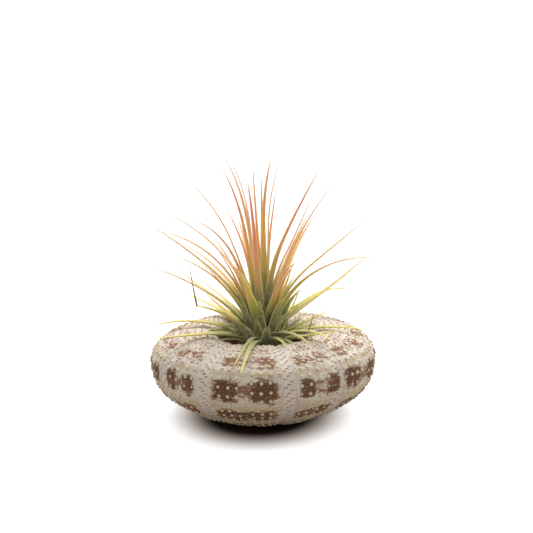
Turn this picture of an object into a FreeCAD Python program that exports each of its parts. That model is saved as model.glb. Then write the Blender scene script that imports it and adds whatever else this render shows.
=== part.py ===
import FreeCAD, Part
import Sketcher
import math
import os

# Air plant holder: a cleaned sea urchin shell, mouth upward, with an air plant set loosely in its mouth.
# Millimetres and degrees. Z is up, the underside of the shell is at z = 0 on the shell's own axis.

doc = FreeCAD.newDocument("air_plant_holder")
Vector = FreeCAD.Vector
Rotation = FreeCAD.Rotation
Placement = FreeCAD.Placement
Z_AXIS = Vector(0, 0, 1)
Y_AXIS = Vector(0, 1, 0)

# The arc above the widest line, as a share of the height from there to the crest
UPPER_SIDE_SHARE = 0.78

# Driving dimensions, one row each: name, value or formula, what it is
SIZES = [
    ("shell_radius", 47.0, "radius at the widest line of the shell"),
    ("shell_height", 36.2, "from the underside to the crest round the mouth"),
    ("widest_height", 24.0, "height of the widest line"),
    ("wall", 1.8, "thickness of the shell"),
    ("base_radius", 10.0, "radius where the plate rows end round the apical disc"),
    ("lower_side_radius", 17.0, "radius of the arc below the widest line"),
    ("upper_side_radius", f"=(shell_height - widest_height) * {UPPER_SIDE_SHARE}",
     "radius of the arc above the widest line"),
    ("mouth_radius", 21.5, "radius of the mouth"),
    ("lip_width", 4.0, "from the mouth's edge out to the crest"),
    ("crest_radius", "=mouth_radius + lip_width", "radius of the highest line round the mouth"),
    ("lip_drop", 0.8, "fall of the lip from the crest to the mouth"),
    ("wide_zone_angle", 38.0, "angle of each wide zone; the narrow zones fill the rest"),
    ("notch_radius", 1.3, "radius of the gill notches in the mouth's edge"),
    ("notch_inset_angle", 5.0, "from a wide zone's edge to its notch"),
    ("suture_gap", 0.05, "running gap round the apical disc"),
    ("vent_radius", 4.2, "radius of the hole in the apical disc"),
    ("pore_radius", 0.5, "radius of the five small pores of the apical disc"),
    ("pore_circle_radius", 7.2, "radius of the circle that the five pores lie on"),
    ("seat_depth", 4.2, "from the crest down to the lowest leaf seat on the stem"),
    ("seat_rise", 13.0, "from the lowest leaf seat to the highest"),
    ("stem_low_radius", 6.4, "stem radius at the lowest leaf seat"),
    ("stem_top_radius", 2.3, "stem radius at the highest leaf seat"),
    ("stem_foot_length", 6.0, "length of the trimmed stub below the lowest seat"),
    ("stem_foot_radius", 2.6, "radius of the trimmed stub's end"),
    ("stem_tip_length", 3.0, "length of the growing tip above the highest seat"),
    ("seat_gap", 0.15, "gap between a leaf's base and the stem"),
    ("leaf_length", 50.0, "length of a typical leaf along its curve"),
    ("leaf_width", 4.6, "width of a typical leaf at its widest"),
    ("leaf_thickness", 0.6, "thickness of a leaf in its middle at the base"),
]
sheet = doc.addObject("Spreadsheet::Sheet", "sizes")
for row, (alias, value, meaning) in enumerate(SIZES, start=1):
    sheet.set(f"A{row}", alias)
    sheet.set(f"B{row}", str(value))
    sheet.setAlias(f"B{row}", alias)
    sheet.set(f"C{row}", meaning)

# How the leaves' section changes along them: place, width, thickness and hollow, all as shares,
# the last of the width there
STATION_SHARES = [
    ("base", 0.0, 0.94, 1.00, 0.15),
    ("lower", 0.25, 0.92, 0.90, 0.13),
    ("middle", 0.5, 0.55, 0.68, 0.10),
    ("upper", 0.75, 0.30, 0.46, 0.08),
    ("tip", 1.0, 0.09, 0.20, 0.08),
]

# The leaves, from the lowest to the heart of the rosette. Turn is measured from the front (-Y) towards
# +X, and the three leans from upright at the base, the middle and the tip, all in degrees. Rise is a
# share of the seats' rise, length and width are shares of a typical leaf's.
LEAF_SHARES = [
    # name, turn, rise, length, base lean, middle lean, tip lean, width
    ("low_leaf_1", -68, 0.00, 0.83, 63, 87, 87, 0.95),
    ("low_leaf_2", -9, 0.01, 1.01, 64, 92, 104, 0.75),
    ("low_leaf_3", 52, 0.00, 0.73, 74, 73, 76, 0.80),
    ("low_leaf_4", 87, 0.02, 0.77, 64, 87, 103, 0.85),
    ("low_leaf_5", 156, 0.00, 0.84, 66, 84, 100, 0.90),
    ("low_leaf_6", -142, 0.02, 0.88, 66, 86, 98, 0.90),
    ("low_leaf_7", -108, 0.09, 0.89, 68, 88, 110, 0.90),
    ("low_leaf_8", -14, 0.12, 0.86, 63, 96, 101, 0.50),
    ("low_leaf_9", 18, 0.08, 0.50, 63, 80, 100, 0.70),
    ("low_leaf_10", 47, 0.11, 0.65, 61, 77, 107, 0.75),
    ("low_leaf_11", 34, 0.22, 0.60, 64, 84, 112, 0.60),
    ("low_leaf_12", 129, 0.15, 0.95, 51, 72, 112, 0.80),
    ("low_leaf_13", -132, 0.20, 0.82, 67, 76, 83, 0.70),
    ("low_leaf_14", -47, 0.17, 0.71, 45, 55, 72, 0.90),
    ("low_leaf_15", 85, 0.16, 0.50, 69, 63, 64, 0.80),
    ("middle_leaf_1", -79, 0.32, 1.01, 35, 55, 68, 0.82),
    ("middle_leaf_2", -143, 0.30, 1.17, 69, 80, 67, 0.70),
    ("middle_leaf_3", -117, 0.39, 0.49, 73, 61, 47, 0.92),
    ("middle_leaf_4", 101, 0.36, 0.97, 57, 56, 50, 0.88),
    ("middle_leaf_5", 57, 0.34, 1.30, 17, 54, 87, 0.88),
    ("middle_leaf_6", -67, 0.41, 0.97, 22, 42, 67, 0.90),
    ("middle_leaf_7", 172, 0.25, 1.00, 53, 60, 78, 0.90),
    ("middle_leaf_8", -84, 0.51, 1.23, 21, 47, 55, 0.90),
    ("middle_leaf_9", 79, 0.53, 1.23, 16, 49, 50, 0.81),
    ("middle_leaf_10", -126, 0.56, 0.95, 31, 51, 75, 0.70),
    ("middle_leaf_11", 123, 0.60, 0.47, 35, 27, 21, 0.76),
    ("middle_leaf_12", -83, 0.60, 1.17, 13, 41, 77, 0.85),
    ("middle_leaf_13", 34, 0.58, 0.74, 19, 27, 64, 0.80),
    ("middle_leaf_14", -17, 0.40, 0.95, 29, 41, 57, 1.00),
    ("middle_leaf_15", -168, 0.46, 1.10, 39, 46, 66, 0.90),
    ("middle_leaf_16", 148, 0.50, 1.10, 35, 44, 60, 0.85),
    ("upper_leaf_1", -98, 0.70, 1.24, 8, 41, 69, 0.75),
    ("upper_leaf_2", -46, 0.69, 1.23, 14, 29, 68, 0.70),
    ("upper_leaf_3", 76, 0.68, 1.31, 9, 26, 38, 0.85),
    ("upper_leaf_4", -84, 0.83, 1.34, 10, 21, 47, 0.80),
    ("upper_leaf_5", 141, 0.69, 0.99, 26, 36, 50, 0.70),
    ("upper_leaf_6", 102, 0.80, 1.08, 3, 28, 23, 0.73),
    ("upper_leaf_7", 41, 0.87, 1.48, 5, 32, 38, 0.80),
    ("upper_leaf_8", -142, 0.77, 0.96, 7, 23, 47, 0.63),
    ("upper_leaf_9", -32, 0.89, 1.40, 12, 15, 38, 0.70),
    ("upper_leaf_10", -154, 0.89, 1.40, 7, 20, 59, 0.68),
    ("upper_leaf_11", 149, 0.91, 1.00, 5, 10, 21, 0.54),
    ("upper_leaf_12", -9, 0.78, 1.35, 18, 18, 35, 0.78),
    ("heart_leaf_1", -101, 1.00, 1.33, 1, 4, 26, 0.65),
    ("heart_leaf_2", 104, 1.00, 1.32, 1, 1, 22, 0.56),
    ("heart_leaf_3", -169, 1.00, 1.18, 1, 15, 13, 0.52),
    ("heart_leaf_4", 26, 1.00, 1.33, 1, 0, 28, 0.85),
]
leaf_sheet = doc.addObject("Spreadsheet::Sheet", "leaf_shares")
for row, leaf in enumerate(LEAF_SHARES, start=1):
    leaf_sheet.set(f"A{row}", leaf[0])
    for column, value, what in zip("BC", (leaf[3], leaf[7]), ("length_share", "width_share")):
        leaf_sheet.set(f"{column}{row}", str(value))
        leaf_sheet.setAlias(f"{column}{row}", f"{leaf[0]}_{what}")
doc.recompute()


def size(alias):
    return sheet.get(alias)


# Where the wide zones' middles stand round the shell, from +X
ZONE_COUNT = 5
ZONE_PITCH = 360.0 / ZONE_COUNT
FRONT_ZONE_TURN = -99.5
WIDE_ANGLE = "sizes.wide_zone_angle"
NARROW_ANGLE = f"{ZONE_PITCH} - sizes.wide_zone_angle"

# The shell's meridian: five arcs, each tangent to the next, given as centre and radius.
# The belly leaves the underside level, and the shoulder reaches the crest level.


def meridian():
    lower, upper = size("lower_side_radius"), size("upper_side_radius")
    widest, height = size("widest_height"), size("shell_height")
    belly_run = size("shell_radius") - lower - size("base_radius")
    belly = (belly_run ** 2 + widest ** 2 - lower ** 2) / (2 * (widest - lower))
    crown = height - widest
    shoulder_run = size("shell_radius") - upper - size("crest_radius")
    shoulder = (shoulder_run ** 2 + crown ** 2 - upper ** 2) / (2 * (crown - upper))
    lip_run = size("crest_radius") - size("mouth_radius")
    lip = (lip_run ** 2 + size("lip_drop") ** 2) / (2 * size("lip_drop"))
    belly_angle = math.atan2(widest - belly, belly_run)
    shoulder_angle = math.atan2(widest - (height - shoulder), shoulder_run)
    lip_angle = math.pi / 2 + math.asin(lip_run / lip)
    return [
        (size("base_radius"), belly, belly, -math.pi / 2, belly_angle),
        (size("shell_radius") - lower, widest, lower, belly_angle, 0),
        (size("shell_radius") - upper, widest, upper, 0, shoulder_angle),
        (size("crest_radius"), height - shoulder, shoulder, shoulder_angle, math.pi / 2),
        (size("crest_radius"), height - lip, lip, math.pi / 2, lip_angle),
    ]


def origin_plane(body, role):
    return [feature for feature in body.Origin.OriginFeatures if feature.Role == role][0]


def new_body(label, placement=Placement()):
    body = doc.addObject("PartDesign::Body", label)
    body.Label = label
    body.Placement = placement
    return body


def new_sketch(body, name, role="XY_Plane", offset=Placement()):
    sketch = body.newObject("Sketcher::SketchObject", name)
    sketch.AttachmentSupport = [(origin_plane(body, role), "")]
    sketch.MapMode = "FlatFace"
    sketch.AttachmentOffset = offset
    return sketch


def bind(sketch, constraint, formula):
    index = sketch.addConstraint(constraint)
    sketch.setExpression(f"Constraints[{index}]", formula)


# Sketcher numbers the points of a line or an arc from one
START, END, CENTRE = range(1, 4)
ORIGIN = (-1, START)
HORIZONTAL_AXIS = -1
VERTICAL_AXIS = -2


def draw_wall(sketch):
    arcs = []
    for reduction in (0, size("wall")):
        for x, y, radius, first, last in meridian():
            circle = Part.Circle(Vector(x, y, 0), Z_AXIS, radius - reduction)
            arcs.append(sketch.addGeometry(Part.ArcOfCircle(circle, first, last)))
    outer, inner = arcs[:5], arcs[5:]
    edges = []
    for outside, inside, point in ((outer[0], inner[0], START), (outer[4], inner[4], END)):
        line = Part.LineSegment(sketch.getPoint(outside, point), sketch.getPoint(inside, point))
        edge = sketch.addGeometry(line)
        sketch.addConstraint(Sketcher.Constraint("Coincident", edge, START, outside, point))
        sketch.addConstraint(Sketcher.Constraint("Coincident", edge, END, inside, point))
        edges.append(edge)
    for side in (outer, inner):
        for first, second in zip(side, side[1:]):
            sketch.addConstraint(Sketcher.Constraint("Tangent", first, END, second, START))
    for outside, inside in zip(outer, inner):
        sketch.addConstraint(Sketcher.Constraint("Coincident", outside, CENTRE, inside, CENTRE))
    belly, lower, upper, shoulder, lip = outer
    sketch.addConstraint(Sketcher.Constraint("Vertical", edges[0]))
    sketch.addConstraint(Sketcher.Constraint("PointOnObject", lip, CENTRE, edges[1]))
    sketch.addConstraint(Sketcher.Constraint("PointOnObject", belly, START, HORIZONTAL_AXIS))
    sketch.addConstraint(Sketcher.Constraint("Vertical", belly, CENTRE, belly, START))
    sketch.addConstraint(Sketcher.Constraint("Horizontal", lower, CENTRE, lower, END))
    sketch.addConstraint(Sketcher.Constraint("Vertical", shoulder, CENTRE, shoulder, END))
    places = (
        ("DistanceX", belly, START, size("base_radius"), "sizes.base_radius"),
        ("DistanceX", lower, END, size("shell_radius"), "sizes.shell_radius"),
        ("DistanceY", lower, END, size("widest_height"), "sizes.widest_height"),
        ("DistanceX", shoulder, END, size("crest_radius"), "sizes.crest_radius"),
        ("DistanceY", shoulder, END, size("shell_height"), "sizes.shell_height"),
        ("DistanceX", lip, END, size("mouth_radius"), "sizes.mouth_radius"),
    )
    for kind, arc, point, value, formula in places:
        bind(sketch, Sketcher.Constraint(kind, *ORIGIN, arc, point, value), formula)
    drop = Sketcher.Constraint("DistanceY", lip, END, lip, START, size("lip_drop"))
    bind(sketch, drop, "sizes.lip_drop")
    thickness = Sketcher.Constraint("DistanceY", edges[0], START, edges[0], END, size("wall"))
    bind(sketch, thickness, "sizes.wall")
    for arc, name in ((lower, "lower_side_radius"), (upper, "upper_side_radius")):
        bind(sketch, Sketcher.Constraint("Radius", arc, size(name)), f"sizes.{name}")


def add_zone(label, turn, angle_formula):
    body = new_body(label, Placement(Vector(), Rotation(Z_AXIS, turn)))
    sketch = new_sketch(body, f"{label}_meridian", "XZ_Plane")
    draw_wall(sketch)
    zone = body.newObject("PartDesign::Revolution", f"{label}_wall")
    zone.Profile = sketch
    zone.ReferenceAxis = (sketch, ["V_Axis"])
    zone.Midplane = True
    zone.setExpression("Angle", angle_formula)
    return body


def add_notches(body, label):
    offset = Placement(Vector(0, 0, size("shell_height")), Rotation())
    sketch = new_sketch(body, f"{label}_notches_sketch", "XY_Plane", offset)
    sketch.setExpression("AttachmentOffset.Base.z", "sizes.shell_height")
    angle = math.radians(size("wide_zone_angle") / 2 - size("notch_inset_angle"))
    turn = "(sizes.wide_zone_angle / 2 - sizes.notch_inset_angle) * 1 deg"
    for side, sign in ((1, ""), (-1, "-")):
        place = Vector(math.cos(angle), side * math.sin(angle), 0) * size("mouth_radius")
        circle = sketch.addGeometry(Part.Circle(place, Z_AXIS, size("notch_radius")))
        bind(sketch, Sketcher.Constraint("Radius", circle, size("notch_radius")), "sizes.notch_radius")
        along = Sketcher.Constraint("DistanceX", *ORIGIN, circle, CENTRE, place.x)
        bind(sketch, along, f"sizes.mouth_radius * cos({turn})")
        across = Sketcher.Constraint("DistanceY", *ORIGIN, circle, CENTRE, place.y)
        bind(sketch, across, f"{sign}sizes.mouth_radius * sin({turn})")
    pocket = body.newObject("PartDesign::Pocket", f"{label}_notches")
    pocket.Profile = sketch
    pocket.setExpression("Length", "sizes.lip_drop + 2 * sizes.wall")
    return pocket


def add_apical_disc():
    body = new_body("apical_disc")
    sketch = new_sketch(body, "disc_outline")
    rim = size("base_radius") - size("suture_gap")
    for radius, formula in ((rim, "sizes.base_radius - sizes.suture_gap"),
                            (size("vent_radius"), "sizes.vent_radius")):
        circle = sketch.addGeometry(Part.Circle(Vector(), Z_AXIS, radius))
        sketch.addConstraint(Sketcher.Constraint("Coincident", circle, CENTRE, *ORIGIN))
        bind(sketch, Sketcher.Constraint("Radius", circle, radius), formula)
    disc = body.newObject("PartDesign::Pad", "disc_plate")
    disc.Profile = sketch
    disc.setExpression("Length", "sizes.wall")
    pore_sketch = new_sketch(body, "pore_outline")
    place = Vector(size("pore_circle_radius"), 0, 0)
    circle = pore_sketch.addGeometry(Part.Circle(place, Z_AXIS, size("pore_radius")))
    pore_sketch.addConstraint(Sketcher.Constraint("PointOnObject", circle, CENTRE, HORIZONTAL_AXIS))
    distance = Sketcher.Constraint("DistanceX", *ORIGIN, circle, CENTRE, place.x)
    bind(pore_sketch, distance, "sizes.pore_circle_radius")
    bind(pore_sketch, Sketcher.Constraint("Radius", circle, size("pore_radius")), "sizes.pore_radius")
    pore = body.newObject("PartDesign::Pocket", "pore")
    pore.Profile = pore_sketch
    pore.Type = "ThroughAll"
    pore.Midplane = True
    pores = body.newObject("PartDesign::PolarPattern", "pores")
    pores.Originals = [pore]
    pores.Axis = (pore_sketch, ["N_Axis"])
    pores.Angle = 360
    pores.Occurrences = ZONE_COUNT
    body.Tip = pores
    return body


# The plant's stem stands on the shell's axis, its lowest leaf seat a little below the crest
SEAT_HEIGHT = "sizes.shell_height - sizes.seat_depth"


def seat_height():
    return size("shell_height") - size("seat_depth")


def add_stem():
    body = new_body("stem")
    sketch = new_sketch(body, "stem_outline", "XZ_Plane")
    seat, rise = seat_height(), size("seat_rise")
    foot, tip = size("stem_foot_length"), size("stem_tip_length")
    corners = [
        (Vector(0, seat - foot, 0), "0", f"{SEAT_HEIGHT} - sizes.stem_foot_length"),
        (Vector(size("stem_foot_radius"), seat - foot, 0), "sizes.stem_foot_radius",
         f"{SEAT_HEIGHT} - sizes.stem_foot_length"),
        (Vector(size("stem_low_radius"), seat, 0), "sizes.stem_low_radius", SEAT_HEIGHT),
        (Vector(size("stem_top_radius"), seat + rise, 0), "sizes.stem_top_radius",
         f"{SEAT_HEIGHT} + sizes.seat_rise"),
        (Vector(0, seat + rise + tip, 0), "0",
         f"{SEAT_HEIGHT} + sizes.seat_rise + sizes.stem_tip_length"),
    ]
    points = [corner[0] for corner in corners]
    lines = [sketch.addGeometry(Part.LineSegment(first, second))
             for first, second in zip(points, points[1:] + points[:1])]
    for first, second in zip(lines, lines[1:] + lines[:1]):
        sketch.addConstraint(Sketcher.Constraint("Coincident", first, END, second, START))
    for line, (point, across, up) in zip(lines, corners):
        if point.x > 0:
            bind(sketch, Sketcher.Constraint("DistanceX", *ORIGIN, line, START, point.x), across)
        else:
            sketch.addConstraint(Sketcher.Constraint("PointOnObject", line, START, VERTICAL_AXIS))
        bind(sketch, Sketcher.Constraint("DistanceY", *ORIGIN, line, START, point.y), up)
    turned = body.newObject("PartDesign::Revolution", "stem_turned")
    turned.Profile = sketch
    turned.ReferenceAxis = (sketch, ["V_Axis"])
    turned.Angle = 360
    return body


def arc_step(length, first, last):
    # Run outwards and upwards along an arc of this length whose lean goes from first to last
    bend = last - first
    if bend == 0:
        return length * math.sin(first), length * math.cos(first)
    radius = length / bend
    return radius * (math.cos(first) - math.cos(last)), radius * (math.sin(last) - math.sin(first))


def leaf_line(share, length, leans):
    # Place and lean on a leaf's line: two tangent arcs that meet in its middle
    base, middle, tip = [math.radians(lean) for lean in leans]
    half = length / 2
    if share <= 0.5:
        lean = base + (middle - base) * share * 2
        out, up = arc_step(length * share, base, lean)
        return out, up, math.degrees(lean)
    lean = middle + (tip - middle) * (share - 0.5) * 2
    first_out, first_up = arc_step(half, base, middle)
    out, up = arc_step(length * share - half, middle, lean)
    return first_out + out, first_up + up, math.degrees(lean)


def crescent_radius(width, depth):
    return f"(({width})^2 / 4 + ({depth})^2) / (2 * ({depth}))"


def draw_crescent(sketch, width, thickness, hollow, formulas):
    # Sketch x points to the leaf's outer side and y across it
    width_formula, thickness_formula, hollow_formula = formulas
    edge_x = -(thickness / 2 + hollow)
    edges = Vector(edge_x, -width / 2, 0), Vector(edge_x, width / 2, 0)
    arcs = []
    for crown in (thickness / 2, -thickness / 2):
        arcs.append(sketch.addGeometry(Part.Arc(edges[0], Vector(crown, 0, 0), edges[1])))
    outer, inner = arcs
    sketch.addConstraint(Sketcher.Constraint("Coincident", outer, START, inner, START))
    sketch.addConstraint(Sketcher.Constraint("Coincident", outer, END, inner, END))
    sketch.addConstraint(Sketcher.Constraint("Symmetric", outer, START, outer, END, HORIZONTAL_AXIS))
    across = Sketcher.Constraint("DistanceY", outer, START, outer, END, width)
    bind(sketch, across, width_formula)
    back = Sketcher.Constraint("DistanceX", outer, START, *ORIGIN, -edge_x)
    bind(sketch, back, f"({thickness_formula}) / 2 + {hollow_formula}")
    for arc, depth in ((outer, f"{thickness_formula} + {hollow_formula}"), (inner, hollow_formula)):
        value = sketch.Geometry[arc].Radius
        bind(sketch, Sketcher.Constraint("Radius", arc, value), crescent_radius(width_formula, depth))


def add_leaf(label, turn, rise_share, length_share, leans, width_share):
    length = size("leaf_length") * length_share
    seat_radius = size("stem_low_radius") + (size("stem_top_radius") - size("stem_low_radius")) * rise_share
    half_base = size("leaf_thickness") / 2 * math.cos(math.radians(leans[0]))
    out = seat_radius + size("seat_gap") + half_base
    up = seat_height() + size("seat_rise") * rise_share
    front = Rotation(Z_AXIS, turn - 90)
    body = new_body(label, Placement(front.multVec(Vector(out, 0, up)), front))
    sections = []
    for name, place, wide, thick, hollow in STATION_SHARES:
        run, lift, lean = leaf_line(place, length, leans)
        offset = Placement(Vector(run, 0, lift), Rotation(Y_AXIS, lean))
        sketch = new_sketch(body, f"{label}_{name}", "XY_Plane", offset)
        width = size("leaf_width") * width_share * wide
        width_formula = f"sizes.leaf_width * leaf_shares.{label}_width_share * {wide}"
        thickness_formula = f"sizes.leaf_thickness * {thick}"
        formulas = (width_formula, thickness_formula, f"{width_formula} * {hollow}")
        draw_crescent(sketch, width, size("leaf_thickness") * thick, width * hollow, formulas)
        sections.append(sketch)
    blade = body.newObject("PartDesign::AdditiveLoft", f"{label}_blade")
    blade.Profile = sections[0]
    blade.Sections = sections[1:]
    return body


subparts = []
for number in range(ZONE_COUNT):
    turn = FRONT_ZONE_TURN + ZONE_PITCH * number
    wide_zone = add_zone(f"wide_zone_{number + 1}", turn, WIDE_ANGLE)
    add_notches(wide_zone, wide_zone.Label)
    narrow_zone = add_zone(f"narrow_zone_{number + 1}", turn + ZONE_PITCH / 2, NARROW_ANGLE)
    subparts += [wide_zone, narrow_zone]
subparts.append(add_apical_disc())
subparts.append(add_stem())
for name, turn, rise, length, base, middle, tip, width in LEAF_SHARES:
    subparts.append(add_leaf(name, turn, rise, length, (base, middle, tip), width))
doc.recompute()

for item in doc.Objects:
    if "Invalid" in item.State or "Error" in item.State:
        raise RuntimeError(f"{item.Label} failed: {item.State}")
for body in subparts:
    if body.Shape.isNull() or not body.Shape.isValid():
        raise RuntimeError(f"{body.Label} has no valid shape")

os.makedirs("parts", exist_ok=True)
for body in subparts:
    body.Shape.exportStep(f"parts/{body.Label}.step")
print(f"{len(subparts)} nodes written")
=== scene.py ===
# %% [markdown]
# # An air plant in a sea urchin shell
#
# The object is a cleaned sea urchin shell, stood with its mouth upward, and a small air plant that sits
# loose in the mouth. The shell is ten rows of plates, five wide and five narrow, covered in tubercles. The
# plant is a rosette of about fifty channelled leaves, silver-green at their bases and pink at their tips.
#
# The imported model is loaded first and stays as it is. Most pieces made here take the place of one of its
# nodes; some thin leaves, sheaths, threads and roots are added. Each piece rides on a body of the packed
# model, so the plant still lifts out of the shell.

import math

import bpy
import numpy as np
from mathutils import Matrix, Vector


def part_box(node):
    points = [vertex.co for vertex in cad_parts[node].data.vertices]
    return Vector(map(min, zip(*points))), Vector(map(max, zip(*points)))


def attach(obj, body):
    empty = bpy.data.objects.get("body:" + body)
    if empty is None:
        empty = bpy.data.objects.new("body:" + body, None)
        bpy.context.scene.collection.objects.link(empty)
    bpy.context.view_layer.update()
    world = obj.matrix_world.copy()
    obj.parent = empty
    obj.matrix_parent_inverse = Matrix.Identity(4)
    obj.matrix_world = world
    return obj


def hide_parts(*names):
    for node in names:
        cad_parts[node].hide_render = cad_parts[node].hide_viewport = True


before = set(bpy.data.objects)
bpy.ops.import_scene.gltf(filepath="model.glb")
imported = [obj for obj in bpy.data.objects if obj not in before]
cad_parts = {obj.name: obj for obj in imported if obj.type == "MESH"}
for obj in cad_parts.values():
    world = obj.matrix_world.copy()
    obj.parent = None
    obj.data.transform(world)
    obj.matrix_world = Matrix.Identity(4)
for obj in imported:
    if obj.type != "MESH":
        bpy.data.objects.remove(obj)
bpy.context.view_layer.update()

# %% [markdown]
# ## The camera
#
# The picture is taken from a little above the table with a long lens, so the shell is hardly distorted.
# The camera is worked out from where the middle of the shell's underside lies in the picture, how far away it
# is and how much the picture is tilted. The lens comes from the number of pixels that one metre spans at a
# distance of one metre.

# %% Place the camera
IMAGE_SIZE = 533
SENSOR_WIDTH = 36.0
FOCAL_PIXELS = 1890
UNDERSIDE_PIXEL = (261.4, 412.0)
CAMERA_DISTANCE = 0.8
CAMERA_ELEVATION = math.radians(13.5)
CAMERA_ROLL = math.radians(1.2)


def make_camera():
    right = Vector((1, 0, 0))
    forward = Vector((0, math.cos(CAMERA_ELEVATION), -math.sin(CAMERA_ELEVATION)))
    up = right.cross(forward)
    across, down = [(pixel - IMAGE_SIZE / 2) / FOCAL_PIXELS * CAMERA_DISTANCE for pixel in UNDERSIDE_PIXEL]
    eye = -(forward * CAMERA_DISTANCE + right * across - up * down)
    turned_right = right * math.cos(CAMERA_ROLL) - up * math.sin(CAMERA_ROLL)
    turned_up = up * math.cos(CAMERA_ROLL) + right * math.sin(CAMERA_ROLL)
    data = bpy.data.cameras.new("camera")
    data.sensor_width = SENSOR_WIDTH
    data.lens = FOCAL_PIXELS / IMAGE_SIZE * SENSOR_WIDTH
    camera = bpy.data.objects.new("camera", data)
    turn = Matrix((turned_right, turned_up, -forward)).transposed().to_4x4()
    camera.matrix_world = Matrix.Translation(eye) @ turn
    bpy.context.scene.collection.objects.link(camera)
    bpy.context.scene.camera = camera
    return camera


camera = make_camera()
bpy.context.scene.view_settings.view_transform = "Standard"
print("lens", round(camera.data.lens, 1), "mm at", [round(part, 3) for part in camera.location])

# %% [markdown]
# ## Node helpers
#
# Materials and Geometry Nodes are both node trees. Small helpers keep their code short: one adds a node and
# feeds its inputs, and others do arithmetic, mix colours or read a pattern with it. A dictionary feeds inputs
# by name, and a list feeds the inputs that are in use, in order.


# %% Helpers for node trees
def feed(tree, socket, value):
    if isinstance(value, bpy.types.NodeSocket):
        tree.links.new(value, socket)
    else:
        socket.default_value = value


def add(tree, kind, feeds=(), **settings):
    made = tree.nodes.new(kind)
    for name, value in settings.items():
        setattr(made, name, value)
    if isinstance(feeds, dict):
        for name, value in feeds.items():
            feed(tree, made.inputs[name], value)
    else:
        for socket, value in zip([socket for socket in made.inputs if socket.enabled], feeds):
            feed(tree, socket, value)
    return made


def result(made):
    return [socket for socket in made.outputs if socket.enabled][0]


def calc(tree, operation, *values):
    return add(tree, "ShaderNodeMath", values, operation=operation).outputs[0]


def vector_calc(tree, operation, *vectors, output=0):
    return add(tree, "ShaderNodeVectorMath", vectors, operation=operation).outputs[output]


def parts(tree, vector):
    """The X, Y and Z outputs of a vector."""
    return add(tree, "ShaderNodeSeparateXYZ", [vector]).outputs


def ramp(tree, value, low, high, start=0.0, end=1.0):
    feeds = {"Value": value, "From Min": low, "From Max": high, "To Min": start, "To Max": end}
    return add(tree, "ShaderNodeMapRange", feeds, interpolation_type="SMOOTHSTEP").outputs["Result"]


def mix(tree, factor, first, second):
    return result(add(tree, "ShaderNodeMix", [factor, first, second], data_type="RGBA"))


print("node helpers ready")


# %% Helpers for patterns and materials
def noise(tree, place, scale, detail, roughness):
    feeds = {"Vector": place, "Scale": scale, "Detail": detail, "Roughness": roughness}
    return add(tree, "ShaderNodeTexNoise", feeds).outputs[0]


def stretch(tree, place, scale):
    return add(tree, "ShaderNodeMapping", {"Vector": place, "Scale": scale}).outputs[0]


def object_space(tree):
    return add(tree, "ShaderNodeTexCoord").outputs["Object"]


def attribute(tree, name, output="Fac"):
    return add(tree, "ShaderNodeAttribute", attribute_name=name).outputs[output]


def new_material(name, roughness, specular):
    material = bpy.data.materials.new(name)
    material.use_nodes = True
    shader = material.node_tree.nodes["Principled BSDF"]
    shader.inputs["Roughness"].default_value = roughness
    shader.inputs["Specular IOR Level"].default_value = specular
    return material, material.node_tree, shader


def bump(tree, shader, height, strength, distance):
    feeds = {"Height": height, "Strength": strength, "Distance": distance}
    tree.links.new(add(tree, "ShaderNodeBump", feeds).outputs[0], shader.inputs["Normal"])


print("pattern helpers ready")

# %% [markdown]
# ## Light
#
# The object stands in a white light box: soft light from all round, more of it from the sides, and a large
# lamp above and behind, which lights the leaves through. The world is white to the camera and dimmer to the
# object. A brighter world would whiten the background too, but it would also bleach the object's colours.

# %% Light the scene
WORLD_STRENGTH = 0.34
WORLD_SIDES = 0.48
WORLD_TINT = (1.0, 0.99, 0.97, 1.0)
LAMP_POWER = 9.6
LAMP_SIZE = 0.7
LAMP_PLACE = (0.08, 0.42, 0.75)
PURE_WHITE = (1, 1, 1, 1)


def seen_ray(tree):
    path = add(tree, "ShaderNodeLightPath")
    seen = calc(tree, "MAXIMUM", path.outputs["Is Camera Ray"], path.outputs["Is Glossy Ray"])
    return calc(tree, "MAXIMUM", seen, path.outputs["Is Transmission Ray"])


def make_world():
    world = bpy.data.worlds.new("light_box")
    bpy.context.scene.world = world
    world.use_nodes = True
    tree = world.node_tree
    tree.nodes.clear()
    direction = add(tree, "ShaderNodeTexCoord").outputs["Generated"]
    sideways = calc(tree, "ABSOLUTE", parts(tree, direction)["X"])
    strength = calc(tree, "ADD", calc(tree, "MULTIPLY", sideways, WORLD_SIDES), WORLD_STRENGTH)
    lit = add(tree, "ShaderNodeBackground", {"Color": WORLD_TINT, "Strength": strength})
    seen = add(tree, "ShaderNodeBackground", {"Color": PURE_WHITE, "Strength": 1.0})
    both = add(tree, "ShaderNodeMixShader", [seen_ray(tree), lit.outputs[0], seen.outputs[0]])
    add(tree, "ShaderNodeOutputWorld", {"Surface": both.outputs[0]})


def make_lamp():
    data = bpy.data.lights.new("top_lamp", "AREA")
    data.energy = LAMP_POWER
    data.size = LAMP_SIZE
    lamp = bpy.data.objects.new("top_lamp", data)
    lamp.location = LAMP_PLACE
    lamp.rotation_euler = (-Vector(LAMP_PLACE)).to_track_quat("-Z", "Y").to_euler()
    bpy.context.scene.collection.objects.link(lamp)


make_world()
make_lamp()
print("lamp at", LAMP_PLACE)
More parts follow.
